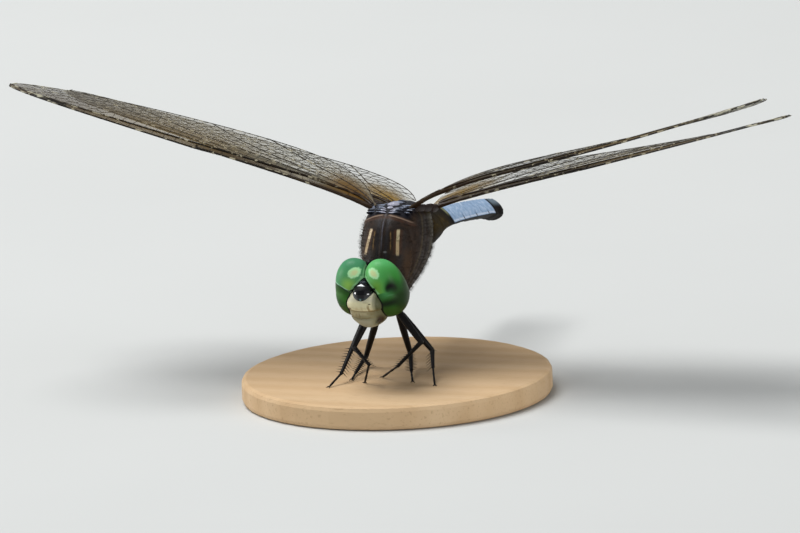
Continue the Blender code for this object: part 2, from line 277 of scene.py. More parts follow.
def blended(centre, blobs, softness, rows, around):
    """Rings of one skin round several rounded forms, found along rays from a centre."""
    rays = ball((0, 0, 0), (1, 1, 1), rows, around)
    near, far = np.zeros(rays.shape[:2]), np.full(rays.shape[:2], LONGEST_RAY)
    for _ in range(HALVINGS):
        middle = (near + far) / 2
        outside = skin_gap(np.array(centre) + rays * middle[..., None], blobs, softness) > 0
        near, far = np.where(outside, near, middle), np.where(outside, middle, far)
    return np.array(centre) + rays * near[..., None]


def sweep(points, radii, around):
    """A rod through points, with a radius at each and rounded ends."""
    points = [Vector(point) for point in points]
    start, end = points[1] - points[0], points[-1] - points[-2]
    rounding = ((1.0, 0.3), (0.7, 0.72), (0.0, 1.0))
    stations = [(points[0] - start.normalized() * radii[0] * back, radii[0] * size, start)
                for back, size in rounding]
    for i in range(1, len(points) - 1):
        stations.append((points[i], radii[i], points[i + 1] - points[i - 1]))
    stations += [(points[-1] + end.normalized() * radii[-1] * ahead, radii[-1] * size, end)
                 for ahead, size in reversed(rounding)]
    side = start.orthogonal().normalized()
    rings = []
    for point, radius, way in stations:
        way = way.normalized()
        side = (side - way * side.dot(way)).normalized()
        up = way.cross(side)
        rings.append([point + radius * (math.cos(a) * side + math.sin(a) * up)
                      for a in full_turn(around)])
    return loft(rings)


def mesh_of(name, points, edges, faces, marks):
    """A mesh that carries numbers or vectors at its points."""
    mesh = bpy.data.meshes.new(name)
    mesh.from_pydata([tuple(point) for point in points], edges, faces)
    for mark, values in marks.items():
        values = np.array(values, np.float32)
        kind, field = ("FLOAT", "value") if values.ndim == 1 else ("FLOAT_VECTOR", "vector")
        mesh.attributes.new(mark, kind, "POINT").data.foreach_set(field, values.ravel())
    return mesh


def put(name, data):
    """An object in the scene."""
    made = bpy.data.objects.new(name, data)
    bpy.context.scene.collection.objects.link(made)
    return made


def piece(name, part, material, stands_for=(), frame_of=INSECT, marks=None):
    """A finished piece: a mesh in metres, riding on the insect and standing for its solids."""
    points, faces = part
    mesh = mesh_of(name, points, [], faces, marks or {})
    shape = bmesh.new()
    shape.from_mesh(mesh)
    bmesh.ops.remove_doubles(shape, verts=shape.verts, dist=1e-4)
    bmesh.ops.recalc_face_normals(shape, faces=shape.faces)
    shape.transform(Matrix.Scale(MM, 4) @ frame_of)
    shape.to_mesh(mesh)
    shape.free()
    mesh.shade_smooth()
    mesh.materials.append(material)
    return settle(name, mesh, stands_for)


def settle(name, mesh, stands_for=()):
    made = put(name, mesh)
    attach(made, "root")
    if stands_for:
        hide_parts(*stands_for)
    return made


# ---------------------------------------------------------------- growing things with geometry nodes
def growth_tree(name, inputs):
    """A geometry tree with named inputs. Returns the tree, its inputs and its end."""
    group = bpy.data.node_groups.new(name, "GeometryNodeTree")
    group.interface.new_socket("Geometry", in_out="INPUT", socket_type="NodeSocketGeometry")
    for label, kind in inputs.items():
        group.interface.new_socket(label, in_out="INPUT", socket_type="NodeSocket" + kind)
    group.interface.new_socket("Geometry", in_out="OUTPUT", socket_type="NodeSocketGeometry")
    tree = Tree(group)
    start = tree.add("NodeGroupInput")
    given = {label: start.other(label) for label in ["Geometry", *inputs]}

    def end_with(geometry):
        real = tree.add("GeometryNodeRealizeInstances", sockets={"Geometry": geometry})
        done = tree.add("GeometryNodeSetMaterial", sockets={
            "Geometry": real, "Material": given["Material"]})
        group.nodes.new("NodeGroupOutput")
        group.links.new(done.socket, group.nodes[-1].inputs[0])
        return group

    return tree, given, end_with


def stored(tree, name, kind="FLOAT"):
    """An attribute that the geometry carries."""
    return tree.add("GeometryNodeInputNamedAttribute", {"data_type": kind}, {"Name": name})


def varied_length(tree, given, low, high):
    """A random length for each instance, between two shares of the length given."""
    return tree.add("FunctionNodeRandomValue", {"data_type": "FLOAT"},
                    {2: given["Length"] * low, 3: given["Length"] * high, "Seed": given["Seed"]}, 1)


def planted(tree, roots, form, way, length):
    """An object's form on every root, standing along the way."""
    turned = tree.add("FunctionNodeAlignRotationToVector", {"axis": "Z"}, {"Vector": way})
    shape = tree.add("GeometryNodeObjectInfo", sockets={"Object": form, "As Instance": True},
                     output="Geometry")
    return tree.add("GeometryNodeInstanceOnPoints", sockets={
        "Points": roots, "Instance": shape, "Rotation": turned, "Scale": length})


def grown(name, seedbed, group, values):
    """Grows a tree on a mesh and returns the result as a plain mesh piece."""
    bed = put(name + "_bed", seedbed)
    growth = bed.modifiers.new("growth", "NODES")
    growth.node_group = group
    identifiers = {item.name: item.identifier for item in group.interface.items_tree
                   if item.in_out == "INPUT"}
    for label, value in values.items():
        growth[identifiers[label]] = value
    bpy.context.view_layer.update()
    mesh = bpy.data.meshes.new_from_object(bed.evaluated_get(bpy.context.evaluated_depsgraph_get()))
    mesh.name = name
    bpy.data.objects.remove(bed)
    return settle(name, mesh)


def veins_tree():
    """Round rods along a mesh's edges, as thick as its girth."""
    tree, given, end_with = growth_tree("veins", {"Sides": "Int", "Material": "Material"})
    paths = tree.add("GeometryNodeMeshToCurve", sockets={"Mesh": given["Geometry"]})
    outline = tree.add("GeometryNodeCurvePrimitiveCircle", sockets={
        "Resolution": given["Sides"], "Radius": 1.0})
    return end_with(tree.add("GeometryNodeCurveToMesh", sockets={
        "Curve": paths, "Profile Curve": outline, "Scale": stored(tree, "girth"), "Fill Caps": True}))


def spines_tree():
    """Spines along a limb's middle line, leaning towards its end. The line carries girth and side."""
    tree, given, end_with = growth_tree("spines", {
        "Spine": "Object", "Spacing": "Float", "Length": "Float", "Lean": "Float", "Seed": "Int",
        "Material": "Material"})
    line = tree.add("GeometryNodeMeshToCurve", sockets={"Mesh": given["Geometry"]})
    roots = tree.add("GeometryNodeCurveToPoints", {"mode": "LENGTH"},
                     {"Curve": line, "Length": given["Spacing"]})
    side = stored(tree, "side", "FLOAT_VECTOR")
    way = tree.vector("ADD", side, tree.scaled(roots.other("Tangent"), given["Lean"]))
    moved = tree.add("GeometryNodeSetPosition", sockets={
        "Geometry": roots, "Offset": tree.scaled(side, stored(tree, "girth") * 0.8)})
    return end_with(planted(tree, moved, given["Spine"], way, varied_length(tree, given, 0.75, 1.2)))


def coat_tree():
    """Tufts of short hair over a skin, thick where its fuzz is strong, along the lie."""
    tree, given, end_with = growth_tree("coat", {
        "Tuft": "Object", "Density": "Float", "Length": "Float", "Lie": "Vector", "Seed": "Int",
        "Material": "Material"})
    roots = tree.add("GeometryNodeDistributePointsOnFaces", {"distribute_method": "RANDOM"}, {
        "Mesh": given["Geometry"], "Density": given["Density"] * stored(tree, "fuzz"),
        "Seed": given["Seed"]})
    sway = tree.add("FunctionNodeRandomValue", {"data_type": "FLOAT_VECTOR"},
                    {0: (-0.35,) * 3, 1: (0.35,) * 3, "Seed": given["Seed"]})
    way = tree.vector("ADD", tree.vector("ADD", roots.other("Normal"), given["Lie"]), sway)
    tufts = planted(tree, roots, given["Tuft"], way, varied_length(tree, given, 0.6, 1.15))
    real = tree.add("GeometryNodeRealizeInstances", sockets={"Geometry": tufts})
    unwrap = tree.vector("ADD", stored(tree, "unwrap", "FLOAT_VECTOR"),
                         stored(tree, "patch", "FLOAT_VECTOR"))
    return end_with(tree.add("GeometryNodeStoreNamedAttribute",
                             {"data_type": "FLOAT2", "domain": "CORNER"},
                             {"Geometry": real, "Name": "OFBake", "Value": unwrap}))


def bristle(name, hairs, slimness, splay, bend):
    """A tuft of unit length, for a growth tree. Its patch is its own small spread on the unwrap."""
    stations, corners, patch_radius = (0.0, 0.45, 1.0), (0, 2.09, 4.19), 0.0015
    parts, patch = [], []
    for hair in range(hairs):
        turn = 2 * math.pi * hair / hairs
        out = Vector((math.cos(turn), math.sin(turn), 0))
        line = [out * (0.02 + splay * t + bend * t * t) + Vector((0, 0, t)) for t in stations]
        rings = [[point + Vector((math.cos(a), math.sin(a), 0)) * slimness * (1 - 0.93 * t)
                  for a in corners] for point, t in zip(line, stations)]
        parts.append(loft(rings))
        patch += [tuple(out * patch_radius)] * len(parts[-1][0])
    points, faces = joined(*parts)
    mesh = mesh_of(name, points, [], faces, {"patch": patch})
    mesh.shade_smooth()
    return bpy.data.objects.new(name, mesh)


# ---------------------------------------------------------------- lines shared by finish and relief
def lip_seam(x, z):
    """How high a point lies over the seam between clypeus and labrum."""
    return z + 1.80 - 0.08 * x * x


def chin_seam(x, z):
    """How high a point lies over the crease below the lip."""
    return z + 2.42 - 0.10 * x * x


def crest_height(out, z):
    """How high a point lies over the crest across the front of the thorax."""
    return z + 0.62 + out * (0.04 + 0.13 * out)


def behind_slant(y, z, slope):
    """How far a point lies behind a line that slants down the side of the thorax."""
    return y - slope * (z + 4.0)


# How far each suture of the sides moves back for a millimetre up
SHOULDER_SLANT, MIDDLE_SLANT, HIND_SLANT = -0.10, 0.35, 0.45


# ---------------------------------------------------------------- finishes
# Painted highlight, a pale spot on each eye, and the painted dark reflection (pseudopupil) on the left one:
# centre and radii
EYE_HIGHLIGHT = ((0.88, 2.28, 1.40), (0.56, 0.9, 0.41))
EYE_HIGHLIGHT_TILT, EYE_HIGHLIGHT_SHIFT = -0.6, (0.12, 0.0, 0.0)     # radians, and how far left the pair lies
EYE_DARK_REFLECTION = ((2.36, -1.8, 0.18), (0.50, 1.1, 0.80))
EYE_DARK_REFLECTION_CORE = ((2.38, -1.8, 0.16), (0.47, 1.1, 0.44))


def from_eye_highlight(paint, place):
    """How far a point lies from its eye's painted highlight, a pale spot, 1 on the spot's edge."""
    mirrored = paint.vector("ABSOLUTE", paint.vector("SUBTRACT", place, EYE_HIGHLIGHT_SHIFT))
    leaning = paint.add("ShaderNodeVectorRotate", {"rotation_type": "Y_AXIS"}, {
        "Vector": mirrored, "Center": EYE_HIGHLIGHT[0], "Angle": EYE_HIGHLIGHT_TILT})
    return paint.spot(leaning, *EYE_HIGHLIGHT)


def eye_paint(paint, place, x, y, z):
    """Emerald above and dark teal below, paler where the eye meets the face and its neighbour. Painted
    light too: a pale highlight spot on each eye, and on the left one a dark reflection (pseudopupil), a
    lighter top and shade at its outer and back edges.
    """
    out = x.size()
    left = x.step(-0.05, 0.05)
    right = 1 - left
    rim = paint.mark("rim")
    grain = paint.noise(place, 1.3, 2.0)
    cloud = (grain - 0.5) * 0.5
    speckle = (paint.noise(place, 4.0, 3.0) - 0.5) * 0.7
    border = left * ((out - 1.8) * 0.25 - 0.22) + right * ((out - 1.4) * 0.48 - 0.10)
    below = border - z + cloud * 0.25
    crisp = below.step(-0.04, 0.07)
    lower = crisp + left * out.step(1.7, 2.4) * (below.step(-0.45, 0.50) - crisp)
    spot = from_eye_highlight(paint, place) + cloud * 0.3 + speckle
    dark_reflection = paint.spot(place, *EYE_DARK_REFLECTION)
    dark_reflection_core = paint.spot(place, *EYE_DARK_REFLECTION_CORE)
    top = paint.layers(
        (0.068, 0.315, 0.078),
        (right * 0.85, (0.066, 0.255, 0.105)),
        (right * (z + cloud).step(1.3, 2.2) * 0.6, (0.050, 0.205, 0.115)),
        (left * out.step(1.9, 0.4) * 0.75, (0.150, 0.480, 0.150)),
        # Painted sky highlight: the left eye lighter and bluer at its top
        (left * z.step(1.7, 2.4) * 0.5, (0.090, 0.400, 0.140)),
        (left * out.step(1.5, 2.5) * (z - 0.9).near(0.0, 1.6) * 0.8, (0.030, 0.190, 0.022)),
        (left * (y + 0.2).near(0.0, 1.3) * out.step(1.6, 2.3) * 0.6, (0.06, 0.20, 0.06)),
        (left * z.step(1.25, 0.35) * (out - 0.25).near(1.0, 0.95) * 0.7, (0.145, 0.310, 0.022)),
        (right * z.step(1.25, 0.35) * (out - 0.25).near(1.0, 1.05) * 0.7, (0.310, 0.560, 0.080)),
        # Painted dark reflection (pseudopupil) on the left eye, with a blacker core
        (left * dark_reflection.step(1.45, 0.35) * 0.95, (0.0020, 0.0040, 0.0008)),
        (left * dark_reflection_core.step(1.2, 0.5), (0.0008, 0.0012, 0.0004)),
        # Painted shade: the left eye darker towards its back edge
        (left * y.step(-1.15, -0.4) * 0.7, (0.024, 0.055, 0.010)),
        # Painted highlight: a pale spot on each eye
        (spot.step(1.16, 0.82) * 0.95, (0.40, 0.76, 0.40)),
        (spot.step(0.90, 0.30) * 0.85, (0.56, 0.60, 0.29)))
    bottom = paint.layers(
        (0.020, 0.085, 0.010),
        (left * (below - 0.95).near(0.0, 0.55) * 0.95, (0.0030, 0.0085, 0.0012)),
        (left * below.step(0.75, 0.0) * (out - 1.95).near(0.0, 0.95) * 0.85, (0.055, 0.250, 0.075)),
        (left * (below - 0.28).near(0.0, 0.10) * (out - 2.25).near(0.0, 0.45) * 0.35,
         (0.12, 0.27, 0.15)),
        # Painted shade: the left eye's lower half near black at its outer edge
        (left * out.step(2.35, 2.95) * 0.85, (0.0045, 0.0150, 0.0020)),
        (right * below.step(0.30, 0.0) * 0.8, (0.006, 0.030, 0.012)),
        (right * (below - 0.9).near(0.0, 0.6) * 0.6, (0.042, 0.165, 0.020)),
        (z.step(-1.25, -1.75) * 0.75, (0.024, 0.060, 0.008)),
        # Painted shade: the left eye's lower half darker towards its back edge
        (left * y.step(-0.55, 0.2) * 0.8, (0.028, 0.042, 0.006)))
    line = below.near(-0.02, 0.085) * right * 0.85
    colour = paint.layers(
        paint.mix(lower, top, bottom),
        # Painted shade: the left eye darker along its outer edge, below the top
        (left * out.step(2.35, 2.95) * z.step(1.3, 0.3) * 0.75, (0.010, 0.034, 0.005)),
        (line, (0.33, 0.62, 0.42)),
        ((rim - 0.16).near(0.0, 0.13) * 0.7 * (1 - lower), (0.33, 0.66, 0.33)),
        (out.near(0.09, 0.09) * z.step(0.7, 1.1) * y.step(-0.6, -1.0) * 0.7, (0.36, 0.70, 0.38)),
        (out.near(0.0, 0.20) * z.step(1.5, 2.0) * 0.95, (0.004, 0.009, 0.006)),
        (rim.step(0.11, 0.05), (0.0015, 0.002, 0.0015)))
    facets = paint.cells(place, 22.0)
    return paint.look(colour, 0.32 + grain * 0.16, facets, 0.003)


# Colour of the highlight painted on top of the frons and the knobs
CRESCENT_HIGHLIGHT_WHITE = (0.88, 0.92, 0.95)


def crescent(x, z):
    """The painted highlight: a white crescent where the frons meets the knobs above it."""
    aside = (x + 0.08).size()
    return (0.50 - aside * 0.47 - z).least(z - 0.34 + aside * 0.05).step(-0.015, 0.02)


def frons_paint(paint, place, x, y, z):
    """Polished blue-black, with a white crescent on top, a painted highlight, and a grey lower rim, a
    painted reflection.
    """
    grain = paint.noise(place, 6.0)
    # Painted reflection along the lower rim: grey-blue, with a pale dot in the middle
    low = (y * 0.5 - z + grain * 0.1).step(-0.80, -0.55)
    colour = paint.layers(
        (0.002, 0.002, 0.003),
        (low * grain.step(0.35, 0.65) * 0.5, (0.030, 0.075, 0.085)),
        (low * (x - 0.02).near(0.0, 0.13) * 0.8, (0.20, 0.34, 0.36)),
        (z.step(-0.80, -0.92) * 0.9, (0.003, 0.004, 0.005)),
        # Painted highlight on top
        (crescent(x, z), CRESCENT_HIGHLIGHT_WHITE))
    high = z.step(-0.10, 0.10)
    polish = (1 - high) * (0.25 + 0.75 * (x - 0.08).size().step(0.22, 0.38))
    return {**paint.look(colour, 0.10 + grain * 0.06 + high * 0.45), "Coat Weight": polish}


def wedge_paint(paint, place, x, y, z):
    """Black between the eyes, with a bluish gloss on its knobs."""
    grain = paint.noise(place, 5.0)
    colour = paint.layers(
        (0.003, 0.003, 0.004),
        (z.step(0.40, 0.66) * grain.step(0.4, 0.6) * 0.5, (0.035, 0.055, 0.075)),
        # The painted highlight on top of the frons runs on over the knobs
        (crescent(x, z), CRESCENT_HIGHLIGHT_WHITE))
    return paint.look(colour, 0.26 + grain * 0.12, grain, 0.02)


# Dark specks of the face: centre, radii, where the edge begins and ends, strength and colour
FACE_SPECKS = (
    ((0.76, -2.71, -1.14), (0.12, 0.3, 0.05), (1.2, 0.5), 1.0, (0.03, 0.018, 0.006)),
    ((0.45, -2.75, -1.03), (0.30, 0.3, 0.035), (1.2, 0.5), 0.5, (0.12, 0.09, 0.04)),
    ((-1.09, -2.29, -1.58), (0.20, 0.5, 0.11), (1.2, 0.4), 0.9, (0.09, 0.05, 0.015)),
    ((1.28, -1.30, -2.52), (0.34, 0.8, 0.50), (1.3, 0.3), 1.0, (0.040, 0.022, 0.009)),
)


def face_paint(paint, place, x, y, z):
    """Cream, browner along its seams and lower lip, with a few dark specks; painted shade darkens its left
    side, the fold before that side and the left of the lower lip.
    """
    grain = paint.noise(place, 2.2, 4.0)
    fine = paint.noise(place, 14.0, 2.0)
    streaks = paint.noise(paint.vector("MULTIPLY", place, (5.0, 1.0, 0.8)), 1.0, 2.0)
    upper_streaks = streaks.step(0.46, 0.62) * 0.8 * z.step(-1.0, -1.5) * (x - 0.5).step(-0.7, 0.2)
    lower_streaks = streaks.step(0.46, 0.60) * (z + 2.15).near(0.0, 0.35) * x.step(0.2, -0.3)
    seam = lip_seam(x, z)
    chin = (chin_seam(x, z) + (grain - 0.5) * 0.3).near(0.0, 0.07) * x.step(0.9, 0.5)
    low = (seam + (grain - 0.5) * 0.2).step(0.05, -0.12)
    colour = paint.layers(
        (0.60, 0.56, 0.35),
        (z.step(-1.15, -0.8) * 0.8, (0.46, 0.44, 0.325)),
        (grain.step(0.48, 0.68) * z.step(-1.2, -1.7) * 0.5, (0.38, 0.27, 0.13)),
        (upper_streaks, (0.22, 0.15, 0.06)),
        # Painted shade: the face's left side dark
        (x.step(0.80, 1.25) * 0.92, (0.052, 0.058, 0.020)),
        # Painted shade along the fold before the left side
        (x.near(1.02, 0.10) * z.step(-1.8, -1.2) * 0.35, (0.09, 0.10, 0.06)),
        (low, (0.215, 0.195, 0.105)),
        (low * (z + 2.0).near(0.0, 0.35) * x.step(0.8, 0.2) * 0.7, (0.44, 0.40, 0.25)),
        (low * grain.step(0.45, 0.70) * 0.5, (0.15, 0.125, 0.055)),
        (z.step(-2.25, -2.55) * 0.6, (0.24, 0.23, 0.15)),
        (lower_streaks * 0.6, (0.17, 0.11, 0.045)),
        (chin * 0.6, (0.13, 0.10, 0.045)),
        (z.step(-2.48, -2.62) * x.step(0.9, 0.4) * 0.6, (0.34, 0.34, 0.26)),
        (seam.near(0.0, 0.09) * 0.8, (0.12, 0.08, 0.025)),
        # Painted shade on the left of the lower lip
        (x.step(0.7, 1.3) * low * 0.7, (0.075, 0.070, 0.030)),
        *[(paint.spot(place, centre, radii).step(*edge) * strength, tint)
          for centre, radii, edge, strength, tint in FACE_SPECKS])
    return paint.look(colour, 0.38 + grain * 0.2, fine, 0.010)


THORAX_GLINT = ((0.32, -3.6, -3.62), (0.17, 0.5, 0.10))


def thorax_paint(paint, place, x, y, z):
    """Dark brown shell: cream shoulder stripes, the right one painted lit and the left one painted shaded,
    thin rusty lines, pale crest, faint side stripes.
    """
    out = x.size()
    grain = paint.noise(place, 1.6, 5.0)
    fine = paint.noise(place, 16.0, 3.0)
    ragged = (grain - 0.5) * 0.12
    front = y.step(-1.9, -2.5)
    right = x.step(0.05, -0.05)
    down = (z + 1.85) / -2.0
    stripe_at = 1.27 + 0.05 * down + right * (0.44 * down - 0.22)
    stripe_long = z.step(-1.70, -1.90) * z.step(-4.0, -3.65)
    off_stripe = (out - stripe_at + ragged * 0.6).size() + (1 - right) * 0.022
    stripe = off_stripe.step(0.155, 0.095) * stripe_long * front
    halo = (out - stripe_at).size().step(0.45, 0.15) * stripe_long * front
    thin_long = z.step(-1.8, -2.1) * z.step(-3.6, -3.1) * front * grain.step(0.30, 0.50)
    thin = (out - (0.68 + 0.13 * down) + ragged).near(0.0, 0.09) * thin_long
    over_crest = crest_height(out, z)
    crest = over_crest.near(0.0, 0.08) * y.step(-1.0, -1.6) * out.step(0.15, 0.4) * out.step(2.3, 1.9)
    under_crest = (over_crest + 0.17).near(0.0, 0.20) * y.step(-1.0, -1.6)
    side = out.step(1.6, 2.1) * y.step(-2.2, -1.7)
    middle_line = (behind_slant(y, z, MIDDLE_SLANT) + 1.1 + ragged * 2).near(0.0, 0.22)
    hind_line = (behind_slant(y, z, HIND_SLANT) - 0.9 + ragged * 2).near(0.0, 0.26)
    side_line = middle_line.most(hind_line) * side * z.step(-6.4, -5.5)
    low = z.step(-4.6, -6.6)
    colour = paint.layers(
        (0.017, 0.0115, 0.009),
        (grain.step(0.42, 0.70) * 0.6, (0.040, 0.023, 0.014)),
        (out.near(0.38, 0.26) * front * 0.6, (0.024, 0.024, 0.028)),
        (out.step(1.5, 2.3) * y.step(0.0, -2.0) * 0.4, (0.045, 0.024, 0.014)),
        (under_crest * 0.55, (0.070, 0.028, 0.014)),
        (halo * 0.7, (0.062, 0.024, 0.009)),
        (thin * 0.7, (0.24, 0.14, 0.045)),
        (side_line * 0.30, (0.15, 0.12, 0.06)),
        (side * y.step(0.5, 2.0) * 0.45, (0.050, 0.038, 0.010)),
        (low * 0.35, (0.050, 0.040, 0.030)),
        (out.near(0.0, 0.10) * front * z.step(-0.8, -1.3) * z.step(-3.9, -2.6) * 0.6, (0.11, 0.11, 0.14)),
        (paint.spot(place, *THORAX_GLINT).step(1.2, 0.5) * 0.4, (0.30, 0.30, 0.30)),
        (crest * 0.8, (0.26, 0.175, 0.125)),
        (out.step(1.5, 1.9) * z.step(-3.0, -4.0) * y.step(-1.6, -2.4) * 0.25, (0.12, 0.06, 0.022)),
        (stripe * 0.9, (0.54, 0.44, 0.27)),
        # Painted light and shade: the right stripe lit paler, the left one shaded duller
        (stripe * right * 0.6, (0.80, 0.62, 0.42)),
        (stripe * (1 - right) * 0.5, (0.42, 0.37, 0.22)),
        (stripe * down.step(0.35, 0.6) * 0.8, (0.38, 0.26, 0.14)),
        (stripe * (down - 0.42).near(0.0, 0.06) * 0.6, (0.12, 0.07, 0.03)),
        (over_crest.step(0.05, 0.14) * y.step(0.5, -0.5) * out.step(2.1, 1.6), (0.007, 0.007, 0.011)),
        (out.near(0.0, 0.16) * (z + 0.60).near(0.0, 0.30) * front * 0.8, (0.10, 0.085, 0.085)),
        (z.step(-0.50, -0.30), (0.010, 0.010, 0.014)))
    relief = fine * 0.6 + paint.cells(place, 9.0) * 0.4
    return paint.look(colour, 0.38 + grain * 0.25, relief, 0.03)


def plate_paint(paint, place, x, y, z):
    """Hinge plates of the back: blue-white crowns, a painted highlight where each plate faces up, with
    black between.
    """
    crown = paint.mark("crown")
    grain = paint.noise(place, 5.0, 4.0)
    out = x.size()
    middle = out.step(0.75, 0.45) * (y.step(0.9, -0.1) - y.step(0.4, 1.2) * 0.5)
    outer = out.step(1.85, 2.1)
    # Paler where each plate faces up: a painted highlight
    pale = (crown + (grain - 0.5) * 0.9 + middle * 0.55 - outer * 0.25).step(0.55, 1.05)
    colour = paint.layers(
        (0.006, 0.006, 0.010),
        (pale, (0.22, 0.26, 0.36)),
        (middle.most(0.0) * pale * 0.8, (0.36, 0.35, 0.42)),
        (pale * grain.step(0.55, 0.75) * 0.8, (0.66, 0.70, 0.78)),
        (outer * 0.95, (0.020, 0.011, 0.008)),
        # Painted pinkish highlights on the outer plates
        (outer * pale * grain.step(0.5, 0.7) * 0.6, (0.25, 0.16, 0.14)))
    return paint.look(colour, 0.30 + pale * 0.30 + outer * 0.25, grain, 0.03)


def abdomen_paint(paint, place, x, y, z):
    """Brown with amber sides in front, powdery blue along the middle, black at the end and edges, with a
    painted highlight along the blue's lower edge and a painted reflection on top of the black end.
    """
    out = x.size()
    grain = paint.noise(place, 1.8, 5.0)
    fine = paint.noise(place, 12.0, 3.0)
    mottle = paint.noise(place, 2.8, 4.0)
    ragged = (grain - 0.5) * 0.35
    edge = paint.mark("edge")
    joint = paint.mark("joint")
    blue_long = (y + ragged * 0.4).step(12.15, 12.35) * (y + ragged).step(24.0, 23.7)
    blue = blue_long * (edge + ragged * 0.10).step(0.02, 0.07)
    tick = joint.step(0.45, 0.75) * edge.step(0.42, 0.12)
    seam = joint.step(0.80, 0.98)
    amber = y.step(12.0, 9.5) * (z + ragged).near(-2.3, 1.35)
    colour = paint.layers(
        (0.007, 0.0058, 0.005),
        (amber * 0.9, (0.030, 0.0185, 0.0015)),
        (amber * grain.step(0.5, 0.7) * z.near(-2.0, 0.7) * 0.5, (0.15, 0.095, 0.018)),
        (y.near(11.85, 0.40) * z.step(-2.0, -1.5) * 0.6, (0.30, 0.32, 0.17)),
        (blue, (0.27, 0.38, 0.54)),
        (blue * grain.step(0.48, 0.72) * 0.8, (0.42, 0.53, 0.68)),
        # Painted highlight along the lower edge of the blue
        (blue * edge.near(0.13, 0.09) * 0.7, (0.66, 0.72, 0.82)),
        (blue * out.step(0.10, 0.0) * 0.35, (0.16, 0.22, 0.34)),
        (blue * mottle.step(0.53, 0.66) * 0.5, (0.16, 0.23, 0.36)),
        (blue * mottle.step(0.44, 0.34) * 0.6, (0.50, 0.58, 0.70)),
        (blue * tick, (0.012, 0.014, 0.020)),
        (blue * seam * 0.45, (0.14, 0.20, 0.32)),
        # Painted sky reflection along the top of the black end
        (y.step(24.1, 24.8) * edge.step(0.45, 0.85) * 0.8, (0.16, 0.21, 0.25)),
        (y.near(12.2, 0.18) * 0.9, (0.008, 0.008, 0.010)))
    return paint.look(colour, 0.55 + blue * 0.20, fine * 0.5 + grain * 0.5, 0.025)


def black_paint(paint, place, *_):
    """Black shell, with brown where it is thin and a fine grain."""
    grain = paint.noise(place, 4.0, 4.0)
    colour = paint.mix(grain.step(0.5, 0.8) * 0.6, (0.005, 0.0045, 0.0045), (0.018, 0.012, 0.008))
    return paint.look(colour, 0.30 + grain * 0.22, paint.noise(place, 15.0, 2.0), 0.02)


LEG_FLECK = ((0.1, -1.6, -10.2), (0.18, 0.5, 0.22))


def leg_paint(paint, place, *_):
    """Glossy black, with one pale fleck on the insect's left hind femur."""
    varied = black_paint(paint, place)
    fleck = paint.spot(place, *LEG_FLECK).step(1.0, 0.6)
    varied["Base Color"] = paint.mix(fleck * 0.5, varied["Base Color"], (0.30, 0.26, 0.20))
    return varied


def vein_paint(paint, place, x, y, z):
    """Near black, rustier by the body, with straw and cream patches, palest near the tips: partly the
    veins' own tint and partly painted glints.
    """
    grain = paint.noise(place, 0.9, 2.0)
    straw = paint.noise(place, 1.7, 2.0)
    out = x.size()
    colour = paint.layers(
        (0.010, 0.007, 0.004),
        (out.step(12.0, 3.0) * 0.6, (0.030, 0.014, 0.005)),
        (grain.step(0.50, 0.70) * 0.4, (0.06, 0.042, 0.018)),
        # Straw and cream patches: partly the veins' tint, partly painted glints
        (straw.step(0.58, 0.64) * out.step(3.0, 9.0) * 0.8, (0.40, 0.36, 0.25)),
        (straw.step(0.50, 0.56) * out.step(26.0, 31.0) * 0.7, (0.52, 0.50, 0.38)))
    return paint.look(colour, 0.25 + grain * 0.2)


def membrane_paint(paint, place, x, y, z):
    """Clear film, smoky towards the tip; by the body amber in the hind wings and rusty in the fore."""
    share, across, lobe = paint.mark("share"), paint.mark("across"), paint.mark("hind")
    grain = paint.noise(place, 0.8, 3.0)
    wave = (grain - 0.5) * 0.25
    smoke = (share + wave).step(0.05, 0.55) * (0.6 + 0.4 * across.step(0.9, 0.2))
    tip = (share + wave).step(0.62, 0.85)
    root = (share + wave * 0.4).step(0.20, 0.04)
    amber = root * (lobe * (across + wave * 0.5 - 0.46).near(0.0, 0.52)
                    + (1 - lobe) * (across - 0.35).near(0.0, 0.85))
    band = (0.45 + 0.55 * (share + wave * 0.3).step(0.52, 0.40)) * across.step(0.20, 0.12)
    patches = paint.noise(paint.vector("MULTIPLY", place, (0.55, 1.6, 1.6)), 1.0, 2.0)
    gleam = patches.step(0.56, 0.70) * across.near(0.13, 0.06) * share.step(0.10, 0.22)
    colour = paint.layers(
        (0.30, 0.30, 0.25),
        (smoke, (0.165, 0.115, 0.045)),
        (tip * 0.6, (0.105, 0.095, 0.085)),
        (amber, (0.26, 0.145, 0.002)),
        (amber * (1 - lobe) * 0.9, (0.075, 0.032, 0.006)),
        (band * 0.85, (0.048, 0.028, 0.010)),
        (gleam * 0.6, (0.42, 0.38, 0.28)))
    film = 0.10 + smoke * 0.34 + tip * 0.18 + amber * (1.25 - lobe * 0.4) + band * 0.55 + gleam * 0.2
    return {**paint.look(colour, 0.15 + grain * 0.15), "Alpha": film.least(0.94)}


def hair_paint(paint, place, *_):
    grain = paint.noise(place, 3.0, 2.0)
    colour = paint.mix(grain.step(0.35, 0.7), (0.016, 0.011, 0.008), (0.070, 0.050, 0.034))
    return paint.look(colour, 0.5 + grain * 0.2)


